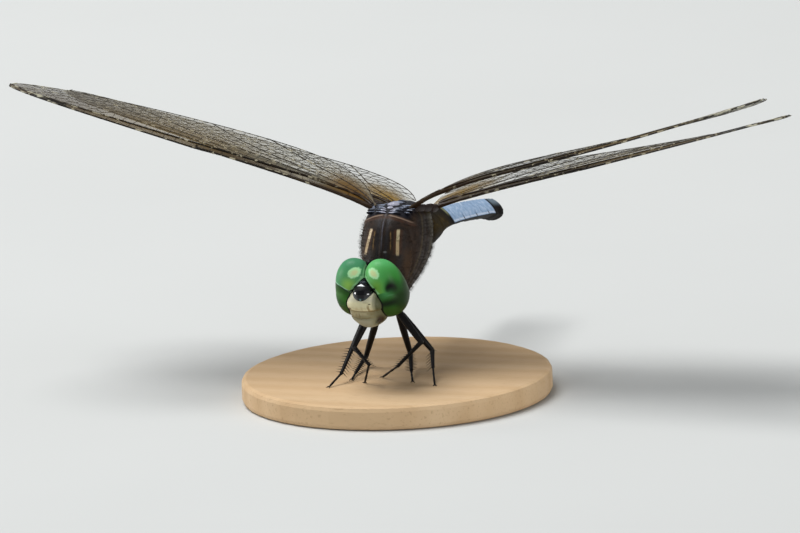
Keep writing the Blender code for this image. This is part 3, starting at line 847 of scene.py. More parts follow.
def wood_paint(paint, place, *_):
    """Oiled birch: growth rings cut along the plank, with pale drifts and fine dark pores."""
    plank = paint.vector("MULTIPLY", place, (0.16, 1.0, 0.5))
    drift = paint.noise(plank, 0.35, 3.0)
    rings = paint.add("ShaderNodeTexWave", {"wave_type": "BANDS", "bands_direction": "Y"}, {
        "Vector": plank, "Scale": 0.13, "Distortion": 9.0, "Detail": 3.0, "Detail Scale": 0.35}, "Fac")
    pores = paint.noise(paint.vector("MULTIPLY", place, (0.7, 9.0, 4.0)), 1.0, 3.0)
    colour = paint.layers(
        (0.60, 0.42, 0.245),
        (rings * 0.35, (0.48, 0.31, 0.165)),
        (drift.step(0.45, 0.75) * 0.35, (0.70, 0.53, 0.34)),
        (pores.step(0.56, 0.72) * 0.35, (0.28, 0.16, 0.075)))
    return paint.look(colour, 0.42 + rings * 0.12 + pores * 0.08, pores, 0.02)


def floor_paint(paint, place, *_):
    grain = paint.noise(place, 0.02, 3.0)
    colour = paint.mix(grain, (0.56, 0.57, 0.56), (0.60, 0.61, 0.60))
    return paint.look(colour, 0.7 + grain * 0.1)


EYE = finish("eye_emerald", eye_paint, 0.12, HEAD)
FRONS = finish("frons_blue_black", frons_paint, 0.15, HEAD)
WEDGE = finish("wedge_black", wedge_paint, 0.2, HEAD)
FACE = finish("face_cream", face_paint, 0.25, HEAD)
SHELL = finish("shell_brown", thorax_paint, 0.14)
PLATES = finish("back_plates", plate_paint, 0.18)
ABDOMEN = finish("abdomen_bloom", abdomen_paint, 0.03)
TAIL = finish("tail_black", black_paint, 0.12)
BACK_OF_HEAD = finish("occiput_black", black_paint, 0.15, HEAD)
LEG = finish("leg_black", leg_paint, 0.12)
VEIN = finish("wing_veins", vein_paint, 0.15)
MEMBRANE = finish("wing_membrane", membrane_paint, 0.25)
HAIR = finish("thorax_hair", hair_paint, 0.1)
WOOD = finish("oiled_birch", wood_paint, 0.06, Matrix.Identity(4))
FLOOR = finish("floor", floor_paint, 0.0, Matrix.Identity(4))


# ---------------------------------------------------------------- head
# Each eye is an egg. Its upper half leans, and flattens behind, the more the higher up
EYE_CENTRE = (1.3, 0.02, -0.36)
EYE_WIDTH, EYE_DEPTH = 1.8, 2.05
EYE_UP, EYE_DOWN = 2.9, 2.03
EYE_SQUARENESS = 0.925
EYE_LEAN_IN, EYE_LEAN_FORWARD, EYE_FLATTENING = 0.04, 0.4, 0.22
EYE_BACK = 1.0
EYE_INSIDE = 0.015                        # how near an eye comes to the head's middle

# Rounded forms that the face's skin runs round: centre, radii and squareness
FACE_FORMS = (
    ((0, -1.50, -0.98), (1.54, 1.24, 1.0), 2.7),
    ((0, -0.85, -1.95), (1.49, 1.38, 1.03), 2.15),
    ((0, -0.15, -2.2), (1.26, 1.12, 0.78), 2.0),
    ((0.06, -0.80, -2.44), (0.92, 1.05, 0.78), 2.0),
)
FACE_MIDDLE, FACE_SOFTNESS = (0, -1.0, -1.6), 0.13
FRONS_FORM = ((0, -2.0, -0.36), (0.93, 0.96, 0.87), 2.0)
FRONS_SOFTNESS = 0.1

# The black wedge between the eyes, which lies a little to the insect's left, and its knobs
WEDGE_TOP, WEDGE_FOOT, WEDGE_FRONT, WEDGE_MIDDLE = 0.88, -0.75, -2.17, 0.03
WEDGE_SQUARENESS = 0.45
KNOBS = (
    ((0.03, -2.12, 0.46), (0.36, 0.26, 0.26)),
    ((0.15, -2.22, 0.60), (0.14, 0.14, 0.15)),
    ((-0.12, -2.22, 0.60), (0.14, 0.14, 0.15)),
)
FAR_AWAY = 9.0

# Points and radii of the left mandible's bulge beside the lip
JAW = (
    ((1.02, -1.25, -2.30), 0.14),
    ((1.14, -1.38, -2.52), 0.20),
    ((1.02, -1.45, -2.74), 0.19),
    ((0.85, -1.42, -2.86), 0.10),
)
OCCIPUT = ((0, 0.75, 0.1), (1.76, 0.82, 1.86))
CROWN = ((0, -0.72, 2.02), (0.36, 0.42, 0.40))
# Points of a feeler: how far out and back, and how high on the left and on the right
FEELER = (
    (0.80, -1.90, 0.12, 0.02),
    (0.95, -2.15, 0.11, -0.06),
    (1.10, -2.35, 0.08, -0.14),
    (1.35, -2.75, -0.01, 0.02),
    (1.70, -3.20, -0.10, 0.40),
)


def eye_rings(side):
    across, back, up = np.moveaxis(ball((0, 0, 0), (1, 1, 1), 96, 140, "X", EYE_SQUARENESS), -1, 0)
    up = up * np.where(up > 0, EYE_UP, EYE_DOWN)
    high = np.maximum(up, 0.0)
    out = EYE_CENTRE[0] - EYE_LEAN_IN * high + EYE_WIDTH * across * side
    back = back * EYE_DEPTH * np.where(back > 0, 1 - EYE_FLATTENING * high, 1.0)
    back += EYE_CENTRE[1] - EYE_LEAN_FORWARD * high
    return np.stack([side * np.maximum(out, EYE_INSIDE), np.minimum(back, EYE_BACK),
                     EYE_CENTRE[2] + up], axis=-1)


def face_taper(points):
    """How much narrower than its forms the face is at a height."""
    share = np.clip((points[..., 2] + 1.25) / 0.9, 0, 1)
    return 1 - 0.15 * share * share * (3 - 2 * share)


def wedge_half_width(z):
    return np.clip(0.07 + 0.88 * (WEDGE_TOP - z), 0.0, 1.04)


def wedge_gap(x, y, z):
    """How far points of the eyes' front lie from the wedge."""
    beside = (np.abs(x - WEDGE_MIDDLE) - wedge_half_width(z)) * 0.75
    return np.where(y < -1.2, np.maximum(beside, z - WEDGE_TOP), FAR_AWAY)


def build_eyes():
    for side, name in SIDES:
        part = loft(eye_rings(side))
        x, y, z = part[0].T
        widened = part[0] / np.stack([face_taper(part[0]), 1 + 0 * x, 1 + 0 * x], axis=-1)
        rim = np.minimum(skin_gap(widened, FACE_FORMS, FACE_SOFTNESS),
                         skin_gap(part[0], [FRONS_FORM], FRONS_SOFTNESS))
        rim = np.minimum(rim, wedge_gap(x, y, z))
        piece("eye_" + name + "_skin", part, EYE, ["eye_" + name], HEAD,
              marks={"rim": np.clip(rim, -1.0, 3.0)})


def face_relief(x, y, z):
    """Seams of the lip and the chin, a shallow groove down the middle, and a fold to each side."""
    front = np.clip((-1.2 - y) / 0.6, 0, 1)
    lip = -0.045 * ridge(lip_seam(x, z), 0.06)
    groove = -0.02 * ridge(x, 0.14) * (z < -1.0)
    fold = -0.05 * ridge(np.abs(x) - 1.16 - 0.06 * (z + 1.5), 0.08) * (z > -1.9)
    chin = -0.05 * ridge(chin_seam(x, z), 0.09)
    return front * (lip + groove + fold + chin)


def wedge_rings():
    turn = full_turn(40)
    wide = squared(np.cos(turn), WEDGE_SQUARENESS)
    deep = squared(np.sin(turn), WEDGE_SQUARENESS)
    back = WEDGE_FRONT + 0.3 + 0.3 * deep + 0.12 * np.abs(wide) ** 2
    return [np.stack([WEDGE_MIDDLE + wedge_half_width(z) * wide, back, z + 0 * wide], axis=-1)
            for z in np.linspace(WEDGE_FOOT, WEDGE_TOP, 36)]


def build_face():
    face = blended(FACE_MIDDLE, FACE_FORMS, FACE_SOFTNESS, 96, 140)
    face[..., 0] *= face_taper(face)
    nodes = ["clypeus", "labrum", "labium"]
    piece("face_skin", loft(pushed(face, face_relief)), FACE, nodes, HEAD)
    piece("frons_skin", loft(ball(*FRONS_FORM[:2], 56, 84)), FRONS, ["frons"], HEAD)
    knobs = [loft(ball(*knob, 20, 32)) for knob in KNOBS]
    piece("vertex_skin", joined(loft(wedge_rings()), *knobs), WEDGE, ["vertex"], HEAD)
    piece("jaw_left", sweep(*zip(*JAW), 16), FACE, frame_of=HEAD)


def build_back_of_head():
    back = joined(loft(ball(*OCCIPUT, 40, 72, "Y")), loft(ball(*CROWN, 20, 32)))
    piece("occiput_skin", back, BACK_OF_HEAD, ["occiput"], HEAD)


def build_feelers():
    for side, name in SIDES:
        line = [(out * side, back, left if side > 0 else right) for out, back, left, right in FEELER]
        stem = sweep(line[:3], (0.085, 0.075, 0.06), 10)
        bristle_end = sweep(line[2:], (0.030, 0.022, 0.010), 8)
        piece("feeler_" + name, joined(stem, bristle_end), BACK_OF_HEAD, ["antenna_" + name], HEAD)


# ---------------------------------------------------------------- thorax
# Level slices of the thorax from below: height, front, back, half width
THORAX_SLICES = (
    (-7.8, -3.3, 0.6, 0.9),
    (-7.0, -3.7, 1.8, 1.4),
    (-5.5, -3.8, 3.3, 2.2),
    (-4.0, -3.75, 4.4, 2.7),
    (-2.5, -3.5, 4.9, 2.75),
    (-1.5, -3.2, 5.1, 2.6),
    (-0.6, -2.4, 4.7, 2.25),
    (-0.1, -1.5, 4.2, 1.55),
    (0.15, -0.7, 3.5, 0.7),
)
THORAX_SQUARENESS = 2.3
THORAX_ROWS, THORAX_AROUND = 110, 144
SKIN_INSET = 0.06
NECK_FORMS = (
    ((0, -3.85, -6.0), (1.3, 0.75, 0.8), 2.0),
    ((0, -3.7, -6.8), (1.0, 0.7, 0.65), 2.0),
)
NECK_MIDDLE, NECK_SOFTNESS = (0, -3.8, -6.3), 0.1


def thorax_rings():
    heights = np.linspace(THORAX_SLICES[0][0], THORAX_SLICES[-1][0], THORAX_ROWS)
    turn = full_turn(THORAX_AROUND)
    across = squared(np.cos(turn), 2 / THORAX_SQUARENESS)
    ahead = squared(np.sin(turn), 2 / THORAX_SQUARENESS)
    rings = []
    for height, (front, back, half_width) in zip(heights, along(THORAX_SLICES, heights)):
        rings.append(np.stack([half_width * across, (front + back) / 2 + (back - front) / 2 * ahead,
                               np.full(THORAX_AROUND, height)], axis=-1))
    return rings


def thorax_relief(x, y, z):
    """Keel and crest in front, and the sutures between the plates of the sides."""
    out = np.abs(x)
    front = np.clip((-1.2 - y) / 0.8, 0, 1)
    side = np.clip((out - 1.2) / 0.6, 0, 1)
    keel = 0.10 * ridge(x, 0.09) * front * np.clip((-0.7 - z) / 0.5, 0, 1)
    beside = -0.05 * ridge(out - 0.28, 0.16) * front
    over_crest = crest_height(out, z)
    crest = 0.09 * ridge(over_crest, 0.10) - 0.08 * ridge(over_crest - 0.28, 0.14)
    crest *= np.clip((-0.9 - y) / 0.6, 0, 1)
    shoulder = -0.09 * ridge(behind_slant(y, z, SHOULDER_SLANT) + 2.0, 0.11) * side
    middle = -0.07 * ridge(behind_slant(y, z, MIDDLE_SLANT) + 0.2, 0.12) * side
    hind = -0.09 * ridge(behind_slant(y, z, HIND_SLANT) - 1.9, 0.13) * side
    return keel + beside + crest + shoulder + middle + hind - SKIN_INSET


def hair_map():
    """A place on the hair's map for each point of the thorax, the last two for its poles."""
    turn, rise = np.meshgrid(np.arange(THORAX_AROUND) / THORAX_AROUND, np.arange(THORAX_ROWS) / THORAX_ROWS)
    places = np.stack([turn, rise, 0 * turn], axis=-1).reshape(-1, 3)
    return np.vstack([places, (0.5, 0.0, 0), (0.5, 0.99, 0)])


def build_thorax():
    part = loft(pushed(thorax_rings(), thorax_relief))
    x, y, z = part[0].T
    fuzz = np.clip((-0.9 - z) / 0.8, 0, 1) * (0.45 + 0.55 * np.clip((np.abs(x) - 0.4) / 1.2, 0, 1))
    skin = piece("thorax_skin", part, SHELL, ["thorax"],
                 marks={"unwrap": hair_map(), "fuzz": fuzz})
    neck = blended(NECK_MIDDLE, NECK_FORMS, NECK_SOFTNESS, 28, 48)
    piece("prothorax_skin", loft(neck), SHELL, ["prothorax"])
    return skin


# Plates of the back: centre, half length, width and height, and turn seen from above. A plate beside
# the middle line has its twin on the right
BACK_PLATES = (
    ((0.0, -0.35, -0.02), 0.62, 0.55, 0.36, 90),
    ((0.0, 0.75, 0.06), 0.46, 0.78, 0.26, 90),
    ((0.0, 1.80, 0.06), 0.72, 0.50, 0.28, 90),
    ((0.0, 2.85, -0.04), 0.34, 0.68, 0.24, 90),
    ((0.0, 3.65, -0.22), 0.45, 0.75, 0.25, 90),
    ((2.12, 0.60, -0.20), 1.25, 0.18, 0.32, 84),
    ((2.30, 2.00, -0.27), 1.40, 0.20, 0.33, 85),
    ((2.42, 3.20, -0.40), 1.00, 0.22, 0.34, 92),
    ((0.0, -1.15, -0.16), 0.34, 0.34, 0.20, 90),
    ((0.62, -1.98, -0.46), 0.55, 0.10, 0.14, 10),
    ((0.72, -1.62, -0.30), 0.62, 0.10, 0.14, 16),
    ((0.80, -1.22, -0.20), 0.66, 0.11, 0.15, 22),
    ((1.50, -1.50, -0.52), 0.50, 0.12, 0.15, -28),
    ((1.55, -1.00, -0.36), 0.52, 0.13, 0.16, -12),
    ((0.95, -0.75, -0.18), 0.70, 0.14, 0.18, 22),
    ((1.05, -0.25, -0.12), 0.72, 0.19, 0.20, 8),
    ((1.10, 0.25, -0.12), 0.68, 0.18, 0.18, -6),
    ((1.00, 0.75, -0.15), 0.55, 0.17, 0.16, -20),
    ((1.75, -0.45, -0.32), 0.42, 0.22, 0.22, 10),
    ((1.85, 0.10, -0.28), 0.36, 0.20, 0.20, -8),
    ((1.10, 1.45, -0.20), 0.62, 0.20, 0.18, 20),
    ((1.20, 2.05, -0.20), 0.70, 0.20, 0.20, 26),
    ((1.35, 2.70, -0.30), 0.72, 0.19, 0.20, 32),
    ((1.25, 3.30, -0.35), 0.60, 0.18, 0.18, 30),
    ((1.95, 2.95, -0.55), 0.40, 0.22, 0.22, 34),
    ((2.05, 3.60, -0.62), 0.36, 0.20, 0.20, 20),
)
PLATE_SINK = 0.05


def build_back_plates():
    parts, crown = [], []
    unit = ball((0, 0, 0), (1, 1, 1), 14, 26)
    for (x, y, z), long, wide, high, turn in BACK_PLATES:
        for side in ((1,) if x == 0 else (1, -1)):
            angle = math.radians(turn) * side
            along_it, over_it, up = np.moveaxis(unit * (long, wide, high), -1, 0)
            parts.append(loft(np.stack([
                along_it * math.cos(angle) - over_it * math.sin(angle) + x * side,
                along_it * math.sin(angle) + over_it * math.cos(angle) + y,
                up + z - PLATE_SINK], axis=-1)))
            # How far each point faces up; the plates' finish paints this as a highlight
            crown.append(np.append(unit[..., 2].ravel(), (1.0, -1.0)))
    piece("back_plates", joined(*parts), PLATES, marks={"crown": np.concatenate(crown)})


# ---------------------------------------------------------------- abdomen
# Upright sections of the abdomen: distance back, half width, ridge, side edge, belly, roundness
ABDOMEN_SECTIONS = (
    (4.3, 1.15, -1.35, -2.7, -3.9, 0.9),
    (5.6, 1.60, -1.05, -2.7, -4.3, 0.9),
    (7.4, 1.68, -1.00, -2.75, -4.2, 0.8),
    (9.2, 1.50, -1.05, -2.65, -3.6, 0.6),
    (11.0, 1.36, -1.08, -2.55, -3.2, 0.45),
    (14.1, 1.22, -1.12, -2.5, -3.0, 0.35),
    (20.4, 1.17, -1.28, -2.55, -3.05, 0.35),
    (23.5, 1.12, -1.42, -2.65, -3.2, 0.4),
    (25.2, 1.06, -1.54, -2.85, -3.45, 0.6),
    (26.3, 0.98, -1.68, -2.85, -3.50, 0.8),
    (26.9, 0.78, -1.90, -2.80, -3.35, 0.9),
)
SEGMENT_ENDS = (5.6, 8.4, 12.2, 15.4, 18.8, 22.1, 24.1, 25.4, 26.3)
ABDOMEN_ROWS = 226
ROOF_STEPS, BELLY_STEPS = 14, 8
# Points and radii of the claspers, of which the upper ones are a pair
CLASPER = (
    ((0.30, 26.6, -2.35), 0.14),
    ((0.34, 27.1, -2.52), 0.18),
    ((0.34, 27.6, -2.68), 0.15),
    ((0.30, 28.0, -2.85), 0.05),
)
LOWER_CLASPER = (((0, 26.7, -2.82), 0.2), ((0, 27.3, -2.90), 0.24), ((0, 27.7, -3.0), 0.14))


def abdomen_ring(back, width, top, edge, belly, roundness):
    half = []
    for crown, steps in ((top, ROOF_STEPS), (belly, BELLY_STEPS)):
        share = np.arange(steps) / steps
        angle = share * math.pi / 2
        across = roundness * np.sin(angle) + (1 - roundness) * share
        height = roundness * np.cos(angle) + (1 - roundness) * (1 - share)
        half.append([(width * a, edge + (crown - edge) * h) for a, h in zip(across, height)])
    outline = half[0] + [(width, edge)] + half[1][::-1]
    outline += [(-x, z) for x, z in outline[-2:0:-1]]
    return [(x, back, z) for x, z in outline]


def abdomen_relief(x, y, z):
    """A keel along the back, and the lap and the groove where each segment ends."""
    joints = sum(ridge(y - end, 0.07) for end in SEGMENT_ENDS)
    laps = sum(ridge(y - end + 0.22, 0.16) for end in SEGMENT_ENDS)
    keel = 0.05 * ridge(x, 0.09) * (z > -2.2)
    return 0.03 * laps - 0.06 * joints + keel - SKIN_INSET


def build_abdomen():
    backs = np.linspace(ABDOMEN_SECTIONS[0][0], ABDOMEN_SECTIONS[-1][0], ABDOMEN_ROWS)
    sections = along(ABDOMEN_SECTIONS, backs)
    rings = pushed([abdomen_ring(back, *section) for back, section in zip(backs, sections)],
                   abdomen_relief)
    part = loft(rings)
    x, y, z = part[0].T
    edges = np.interp(y, backs, sections[:, 2])
    ridges = np.interp(y, backs, sections[:, 1])
    marks = {"edge": (z - edges) / (ridges - edges),
             "joint": np.max([ridge(y - end, 0.20) for end in SEGMENT_ENDS], axis=0)}
    nodes = [f"abdomen_segment_{number:02d}" for number in range(1, 11)]
    piece("abdomen_skin", part, ABDOMEN, nodes, marks=marks)
    for side, name in SIDES:
        line = [(out * side, back, height) for (out, back, height), _ in CLASPER]
        clasper = sweep(line, [radius for _, radius in CLASPER], 14)
        piece("clasper_" + name, clasper, TAIL, ["cercus_" + name])
    piece("lower_clasper", sweep(*zip(*LOWER_CLASPER), 14), TAIL, ["epiproct"])


# ---------------------------------------------------------------- wings
WING_LENGTH = {"fore": 30.8, "hind": 29.5}
WING_CHORD = {"fore": 7.3, "hind": 9.7}
# Each wing: side, root, sweep, slope, quick rise by the root, sag halfway out, degrees by which the
# hind edge is raised by the root, how far out that lasts, and degrees by which it is raised at the tip
WINGS = {
    "fore_wing_left": (1, (2.25, -0.5, 0.27), -0.15, 0.28, 1.05, 0.42, 8.0, 0.8, -3.0),
    "fore_wing_right": (-1, (2.1, -0.5, -0.19), -0.175, 0.301, 0.49, 0.0, 13.5, 1.5, 0.0),
    "hind_wing_left": (1, (2.5, 3.8, -0.38), 0.045, 0.265, 0.3, 0.1, 11.0, 1.0, -3.0),
    "hind_wing_right": (-1, (2.5, 3.8, -0.38), 0.045, 0.28, 0.3, 0.0, 4.5, 0.6, 0.0),
}
# Lengthwise veins from the front edge back: places along the wing and across it. A vein that has
# joined an edge stays on it. The veins behind the radius share its stem
FORE_STEM = ((0, 0.42), (0.06, 0.26), (0.115, 0.205), (0.17, 0.215))
HIND_STEM = ((0, 0.22), (0.06, 0.15), (0.10, 0.14), (0.15, 0.15))
LONG_VEINS = {
    "fore": (
        ((0, 0), (1, 0)),
        ((0, 0.20), (0.06, 0.12), (0.3, 0.065), (0.42, 0.03), (0.465, 0), (1, 0)),
        ((0, 0.42), (0.06, 0.26), (0.2, 0.16), (0.4, 0.11), (0.47, 0.095), (0.7, 0.085), (0.9, 0.09),
         (0.97, 0.14), (1, 0.3)),
        (*FORE_STEM, (0.3, 0.19), (0.47, 0.17),
         (0.7, 0.17), (0.9, 0.21), (0.97, 0.3), (1, 0.5)),
        (*FORE_STEM, (0.3, 0.19), (0.39, 0.18),
         (0.5, 0.235), (0.7, 0.35), (0.85, 0.52), (0.96, 0.85), (0.985, 1), (1, 1)),
        (*FORE_STEM, (0.29, 0.20), (0.4, 0.285),
         (0.55, 0.43), (0.7, 0.67), (0.82, 0.95), (0.845, 1), (1, 1)),
        ((0, 0.42), (0.06, 0.28), (0.12, 0.26), (0.25, 0.32), (0.4, 0.40), (0.55, 0.57), (0.68, 0.85),
         (0.74, 1), (1, 1)),
        ((0, 0.55), (0.06, 0.44), (0.12, 0.42), (0.2, 0.46), (0.3, 0.54), (0.42, 0.76), (0.5, 1), (1, 1)),
        ((0, 0.70), (0.06, 0.60), (0.12, 0.60), (0.2, 0.68), (0.3, 0.90), (0.345, 1), (1, 1)),
        ((0, 1), (1, 1))),
    "hind": (
        ((0, 0), (1, 0)),
        ((0, 0.10), (0.06, 0.07), (0.3, 0.045), (0.39, 0.02), (0.43, 0), (1, 0)),
        ((0, 0.22), (0.06, 0.15), (0.2, 0.11), (0.43, 0.08), (0.7, 0.085), (0.9, 0.10), (0.97, 0.16),
         (1, 0.3)),
        (*HIND_STEM, (0.3, 0.14), (0.43, 0.135), (0.7, 0.165),
         (0.9, 0.23), (0.97, 0.34), (1, 0.5)),
        (*HIND_STEM, (0.3, 0.14), (0.36, 0.14), (0.5, 0.205),
         (0.7, 0.34), (0.85, 0.54), (0.96, 0.88), (0.98, 1), (1, 1)),
        (*HIND_STEM, (0.25, 0.15), (0.38, 0.235), (0.55, 0.41),
         (0.7, 0.65), (0.81, 0.94), (0.835, 1), (1, 1)),
        ((0, 0.22), (0.06, 0.17), (0.10, 0.175), (0.25, 0.25), (0.4, 0.34), (0.55, 0.52), (0.68, 0.82),
         (0.735, 1), (1, 1)),
        ((0, 0.28), (0.06, 0.25), (0.12, 0.26), (0.25, 0.39), (0.4, 0.64), (0.5, 0.88), (0.54, 1), (1, 1)),
        ((0, 0.34), (0.06, 0.32), (0.1, 0.34), (0.2, 0.47), (0.3, 0.68), (0.4, 0.95), (0.42, 1), (1, 1)),
        ((0, 0.42), (0.06, 0.46), (0.12, 0.58), (0.18, 0.80), (0.235, 1), (1, 1)),
        ((0, 1), (1, 1))),
}
# Girths of the lengthwise veins between the edges, which thin out, and of the edges by the body and
# at the tip
VEIN_GIRTH = (0.075, 0.095, 0.055, 0.045, 0.045, 0.045, 0.045, 0.045, 0.04)
GIRTH_BY_BODY, GIRTH_AT_TIP = 1.25, 0.55
FRONT_EDGE_GIRTH, HIND_EDGE_GIRTH = (0.105, 0.05), (0.036, 0.026)
CROSS_GIRTH = 0.024
STRONG_VEIN, STRONG_FOOT, FOOT_SHARE = 0.04, 1.9, 0.05
NODUS = {"fore": 0.465, "hind": 0.43}
# Stout cross veins: girths and places, those of the first counted from the nodus
NODUS_GIRTH, NODUS_VEIN = (0.09, 0.07), ((0, 0.0), (0.006, 0.05), (0.008, 0.17))
ARCULUS_GIRTH, ARCULUS = (0.07, 0.07), ((0.105, 0.20), (0.112, 0.30))

# Cells: their size in the front strips and behind, the random seed, and how far they go out
FRONT_CELL, BACK_CELL, FRONT_STRIPS = 0.95, 0.82, 4
CELL_SEED = {"fore": 7, "hind": 11}
LAST_CELL = 0.985
NARROWEST_STRIP = 0.16
SHORTEST_WALL = 0.05
SQUARE = (-1 - 1j, 1 - 1j, 1 + 1j, -1 + 1j)
CELL_REACH, RIVAL_REACH = 1.3, 2.6        # in cell sizes
ROWS_SHAKE, LONE_ROW_SHAKE = 0.16, 0.05

PLEATS = (0.0, -1.0, 1.0, -0.5, 0.45, -0.35, 0.35, -0.3, 0.25, -0.15)
PLEAT_DEPTH = 0.15
INSIDE_HINGE, WING_END = -0.03, 0.995     # shares of the length at which the film begins and ends
HIND_LOBE = 1.2                           # reach of the hind wing's lobe on the near side of its hinge
RISE_REACH = 3.0
FILM = 0.02
FILM_COLUMNS, FRONT_CROWDING = 31, 1.35   # the film's columns crowd towards its front edge
STIGMA = (0.82, 0.925)
STIGMA_SECTION = ((0.05, 0.045), (0.5, 0.06), (1.0, 0.045))     # share of its width, and height


def tip_rounding(share):
    """How much of its width the wing keeps as its tip rounds off."""
    return math.sqrt(max(0.0, 1 - share ** 9))


def chord(kind, share):
    """The wing's width at a share of its length."""
    share = max(share, 0.0)
    if kind == "fore":
        swell = 0.9 + 0.1 * math.sin(math.pi * min(share / 0.62, 1) / 2)
        form = swell * (1 - 0.8 * math.exp(-share / 0.085))
    else:
        form = (1 - 0.42 * max(0.0, (share - 0.22) / 0.78) ** 1.15) * (1 - 0.42 * math.exp(-share / 0.06))
    return WING_CHORD[kind] * form * tip_rounding(share)


def tip_set_back(kind, share):
    """How far the front edge curves back towards the tip."""
    return 0.32 * WING_CHORD[kind] * (1 - tip_rounding(share))


def pleat(kind, share, across):
    """How high the pleats lift a place on the wing."""
    places = [np.interp(share, *np.array(vein).T) for vein in LONG_VEINS[kind]]
    heights = PLEATS[:len(places) - 1] + (0.0,)
    fade = min(1, max(share, 0.0) * 12) * (1 - 0.6 * share)
    return PLEAT_DEPTH * fade * float(np.interp(across, places, heights))


def wing_point(wing, share, across, above=0.0):
    """A point of the wing's middle surface, pleated between its veins."""
    side, root, sweep_back, slope, rise, sag, twist, lasting, tip_twist = WINGS[wing]
    kind = wing[:4]
    inner = -HIND_LOBE * across if kind == "hind" else 0.0
    tuck = 1 - 0.9 * across if share < 0 else 1
    out = inner + (WING_LENGTH[kind] - inner) * share * tuck
    width = chord(kind, share)
    turn = twist * (1 - max(share, 0.0) ** lasting) + tip_twist * share
    lift = math.radians(turn) * width * across
    lift -= 4 * sag * share * (1 - share)
    return (side * (root[0] + out),
            root[1] + sweep_back * out + tip_set_back(kind, share) + width * across,
            root[2] + slope * out + rise * (1 - math.exp(-out / RISE_REACH)) + lift + above
            + pleat(kind, share, across))


def share_at(kind, x):
    return min(max(x / WING_LENGTH[kind], 0.0), WING_END)


def flat_place(kind, x, across):
    """A place on the wing laid flat, as a complex number: out along it, and back from its hinge."""
    share = share_at(kind, x)
    return complex(x, tip_set_back(kind, share) + across * chord(kind, share))


def on_wing(kind, place):
    """The share of length and of width of a flat place."""
    share = share_at(kind, place.real)
    across = (place.imag - tip_set_back(kind, share)) / max(chord(kind, share), 0.05)
    return share, min(max(across, 0.0), 1.0)


def clipped(corners, normal, reach, label):
    """Keeps the part of a cell before a line. A corner is (place, label of the side from it)."""
    kept = []
    for (here, side), (there, _) in zip(corners, corners[1:] + corners[:1]):
        a = (normal.conjugate() * here).real - reach
        b = (normal.conjugate() * there).real - reach
        if a <= 0:
            kept.append((here, side))
        if a * b < 0:
            kept.append((here + (there - here) * a / (a - b), label if a < 0 else side))
    return kept


def strip_seeds(kind, upper, lower, size, rng):
    """Middles of the cells between two lengthwise veins, in staggered rows."""
    length = WING_LENGTH[kind]
    seeds = []
    for column in range(int(length * LAST_CELL / size)):
        share = (column + 0.6) * size / length
        low, high = np.interp(share, *upper), np.interp(share, *lower)
        width = (high - low) * chord(kind, share)
        if width < NARROWEST_STRIP:
            continue
        rows = max(1, round(width / size))
        shake = ROWS_SHAKE if rows > 1 else LONE_ROW_SHAKE
        for row in range(rows):
            shift = (0.5 * (row % 2) + rng.uniform(-shake, shake)) * size
            across = low + (high - low) * (row + 0.5 + rng.uniform(-shake, shake) * (rows > 1)) / rows
            x = share * length + shift
            if x / length < LAST_CELL:
                seeds.append(flat_place(kind, x, across))
    return seeds


def cell_round(kind, i, seeds, veins, size):
    """Corners of a seed's cell between two veins, each with the number of the neighbour past its side."""
    seed = seeds[i]
    corners = [(seed + size * CELL_REACH * corner, -1) for corner in SQUARE]
    for vein, sign in zip(veins, (-1, 1)):
        ends = [flat_place(kind, x, np.interp(share_at(kind, x), *vein))
                for x in (seed.real - 0.4, seed.real + 0.4)]
        normal = (ends[1] - ends[0]) * 1j * sign
        normal /= abs(normal)
        corners = clipped(corners, normal, (normal.conjugate() * ends[0]).real, -1)
    for j, rival in enumerate(seeds):
        gap = rival - seed
        if i != j and abs(gap) < RIVAL_REACH * size and corners:
            normal = gap / abs(gap)
            middle = (normal.conjugate() * (seed + rival)).real / 2
            corners = clipped(corners, normal, middle, j)
    return corners


def cell_walls(kind):
    """Cross veins of a wing, as pairs of (share, across)."""
    rng = np.random.default_rng(CELL_SEED[kind])
    walls = []
    veins = [np.array(vein).T for vein in LONG_VEINS[kind]]
    for strip, pair in enumerate(zip(veins, veins[1:])):
        size = FRONT_CELL if strip < FRONT_STRIPS else BACK_CELL
        seeds = strip_seeds(kind, *pair, size, rng)
        for i in range(len(seeds)):
            corners = cell_round(kind, i, seeds, pair, size)
            for (here, side), (there, _) in zip(corners, corners[1:] + corners[:1]):
                if side > i and abs(there - here) > SHORTEST_WALL:
                    walls.append((on_wing(kind, here), on_wing(kind, there)))
    return walls


def vein_paths(kind):
    """Every vein of a wing: its girths by the body and at the tip, and its places as (share, across)."""
    shares = np.concatenate([[INSIDE_HINGE], np.linspace(0, 0.99, 100)])
    tip = [(0.99 + 0.006 * math.sin(a), 0.5 - 0.5 * math.cos(a)) for a in np.linspace(0.3, 2.84, 7)]
    paths = [(*FRONT_EDGE_GIRTH, [(share, 0.0) for share in shares] + tip),
             (*HIND_EDGE_GIRTH, [(share, 1.0) for share in shares[:0:-1]])]
    for vein, girth in zip(LONG_VEINS[kind][1:-1], VEIN_GIRTH):
        table = np.array(vein, float)
        path = [(share, float(along(table, share)[0, 0])) for share in shares[1:]]
        path = [(share, min(max(across, 0.0), 1.0)) for share, across in path]
        inside = [k for k, (_, across) in enumerate(path) if 0.0 < across < 1.0]
        paths.append((girth * GIRTH_BY_BODY, girth * GIRTH_AT_TIP, path[:inside[-1] + 2]))
    paths += [(CROSS_GIRTH, CROSS_GIRTH, wall) for wall in cell_walls(kind)]
    at_nodus = [(NODUS[kind] + share, across) for share, across in NODUS_VEIN]
    return paths + [(*NODUS_GIRTH, at_nodus), (*ARCULUS_GIRTH, ARCULUS)]


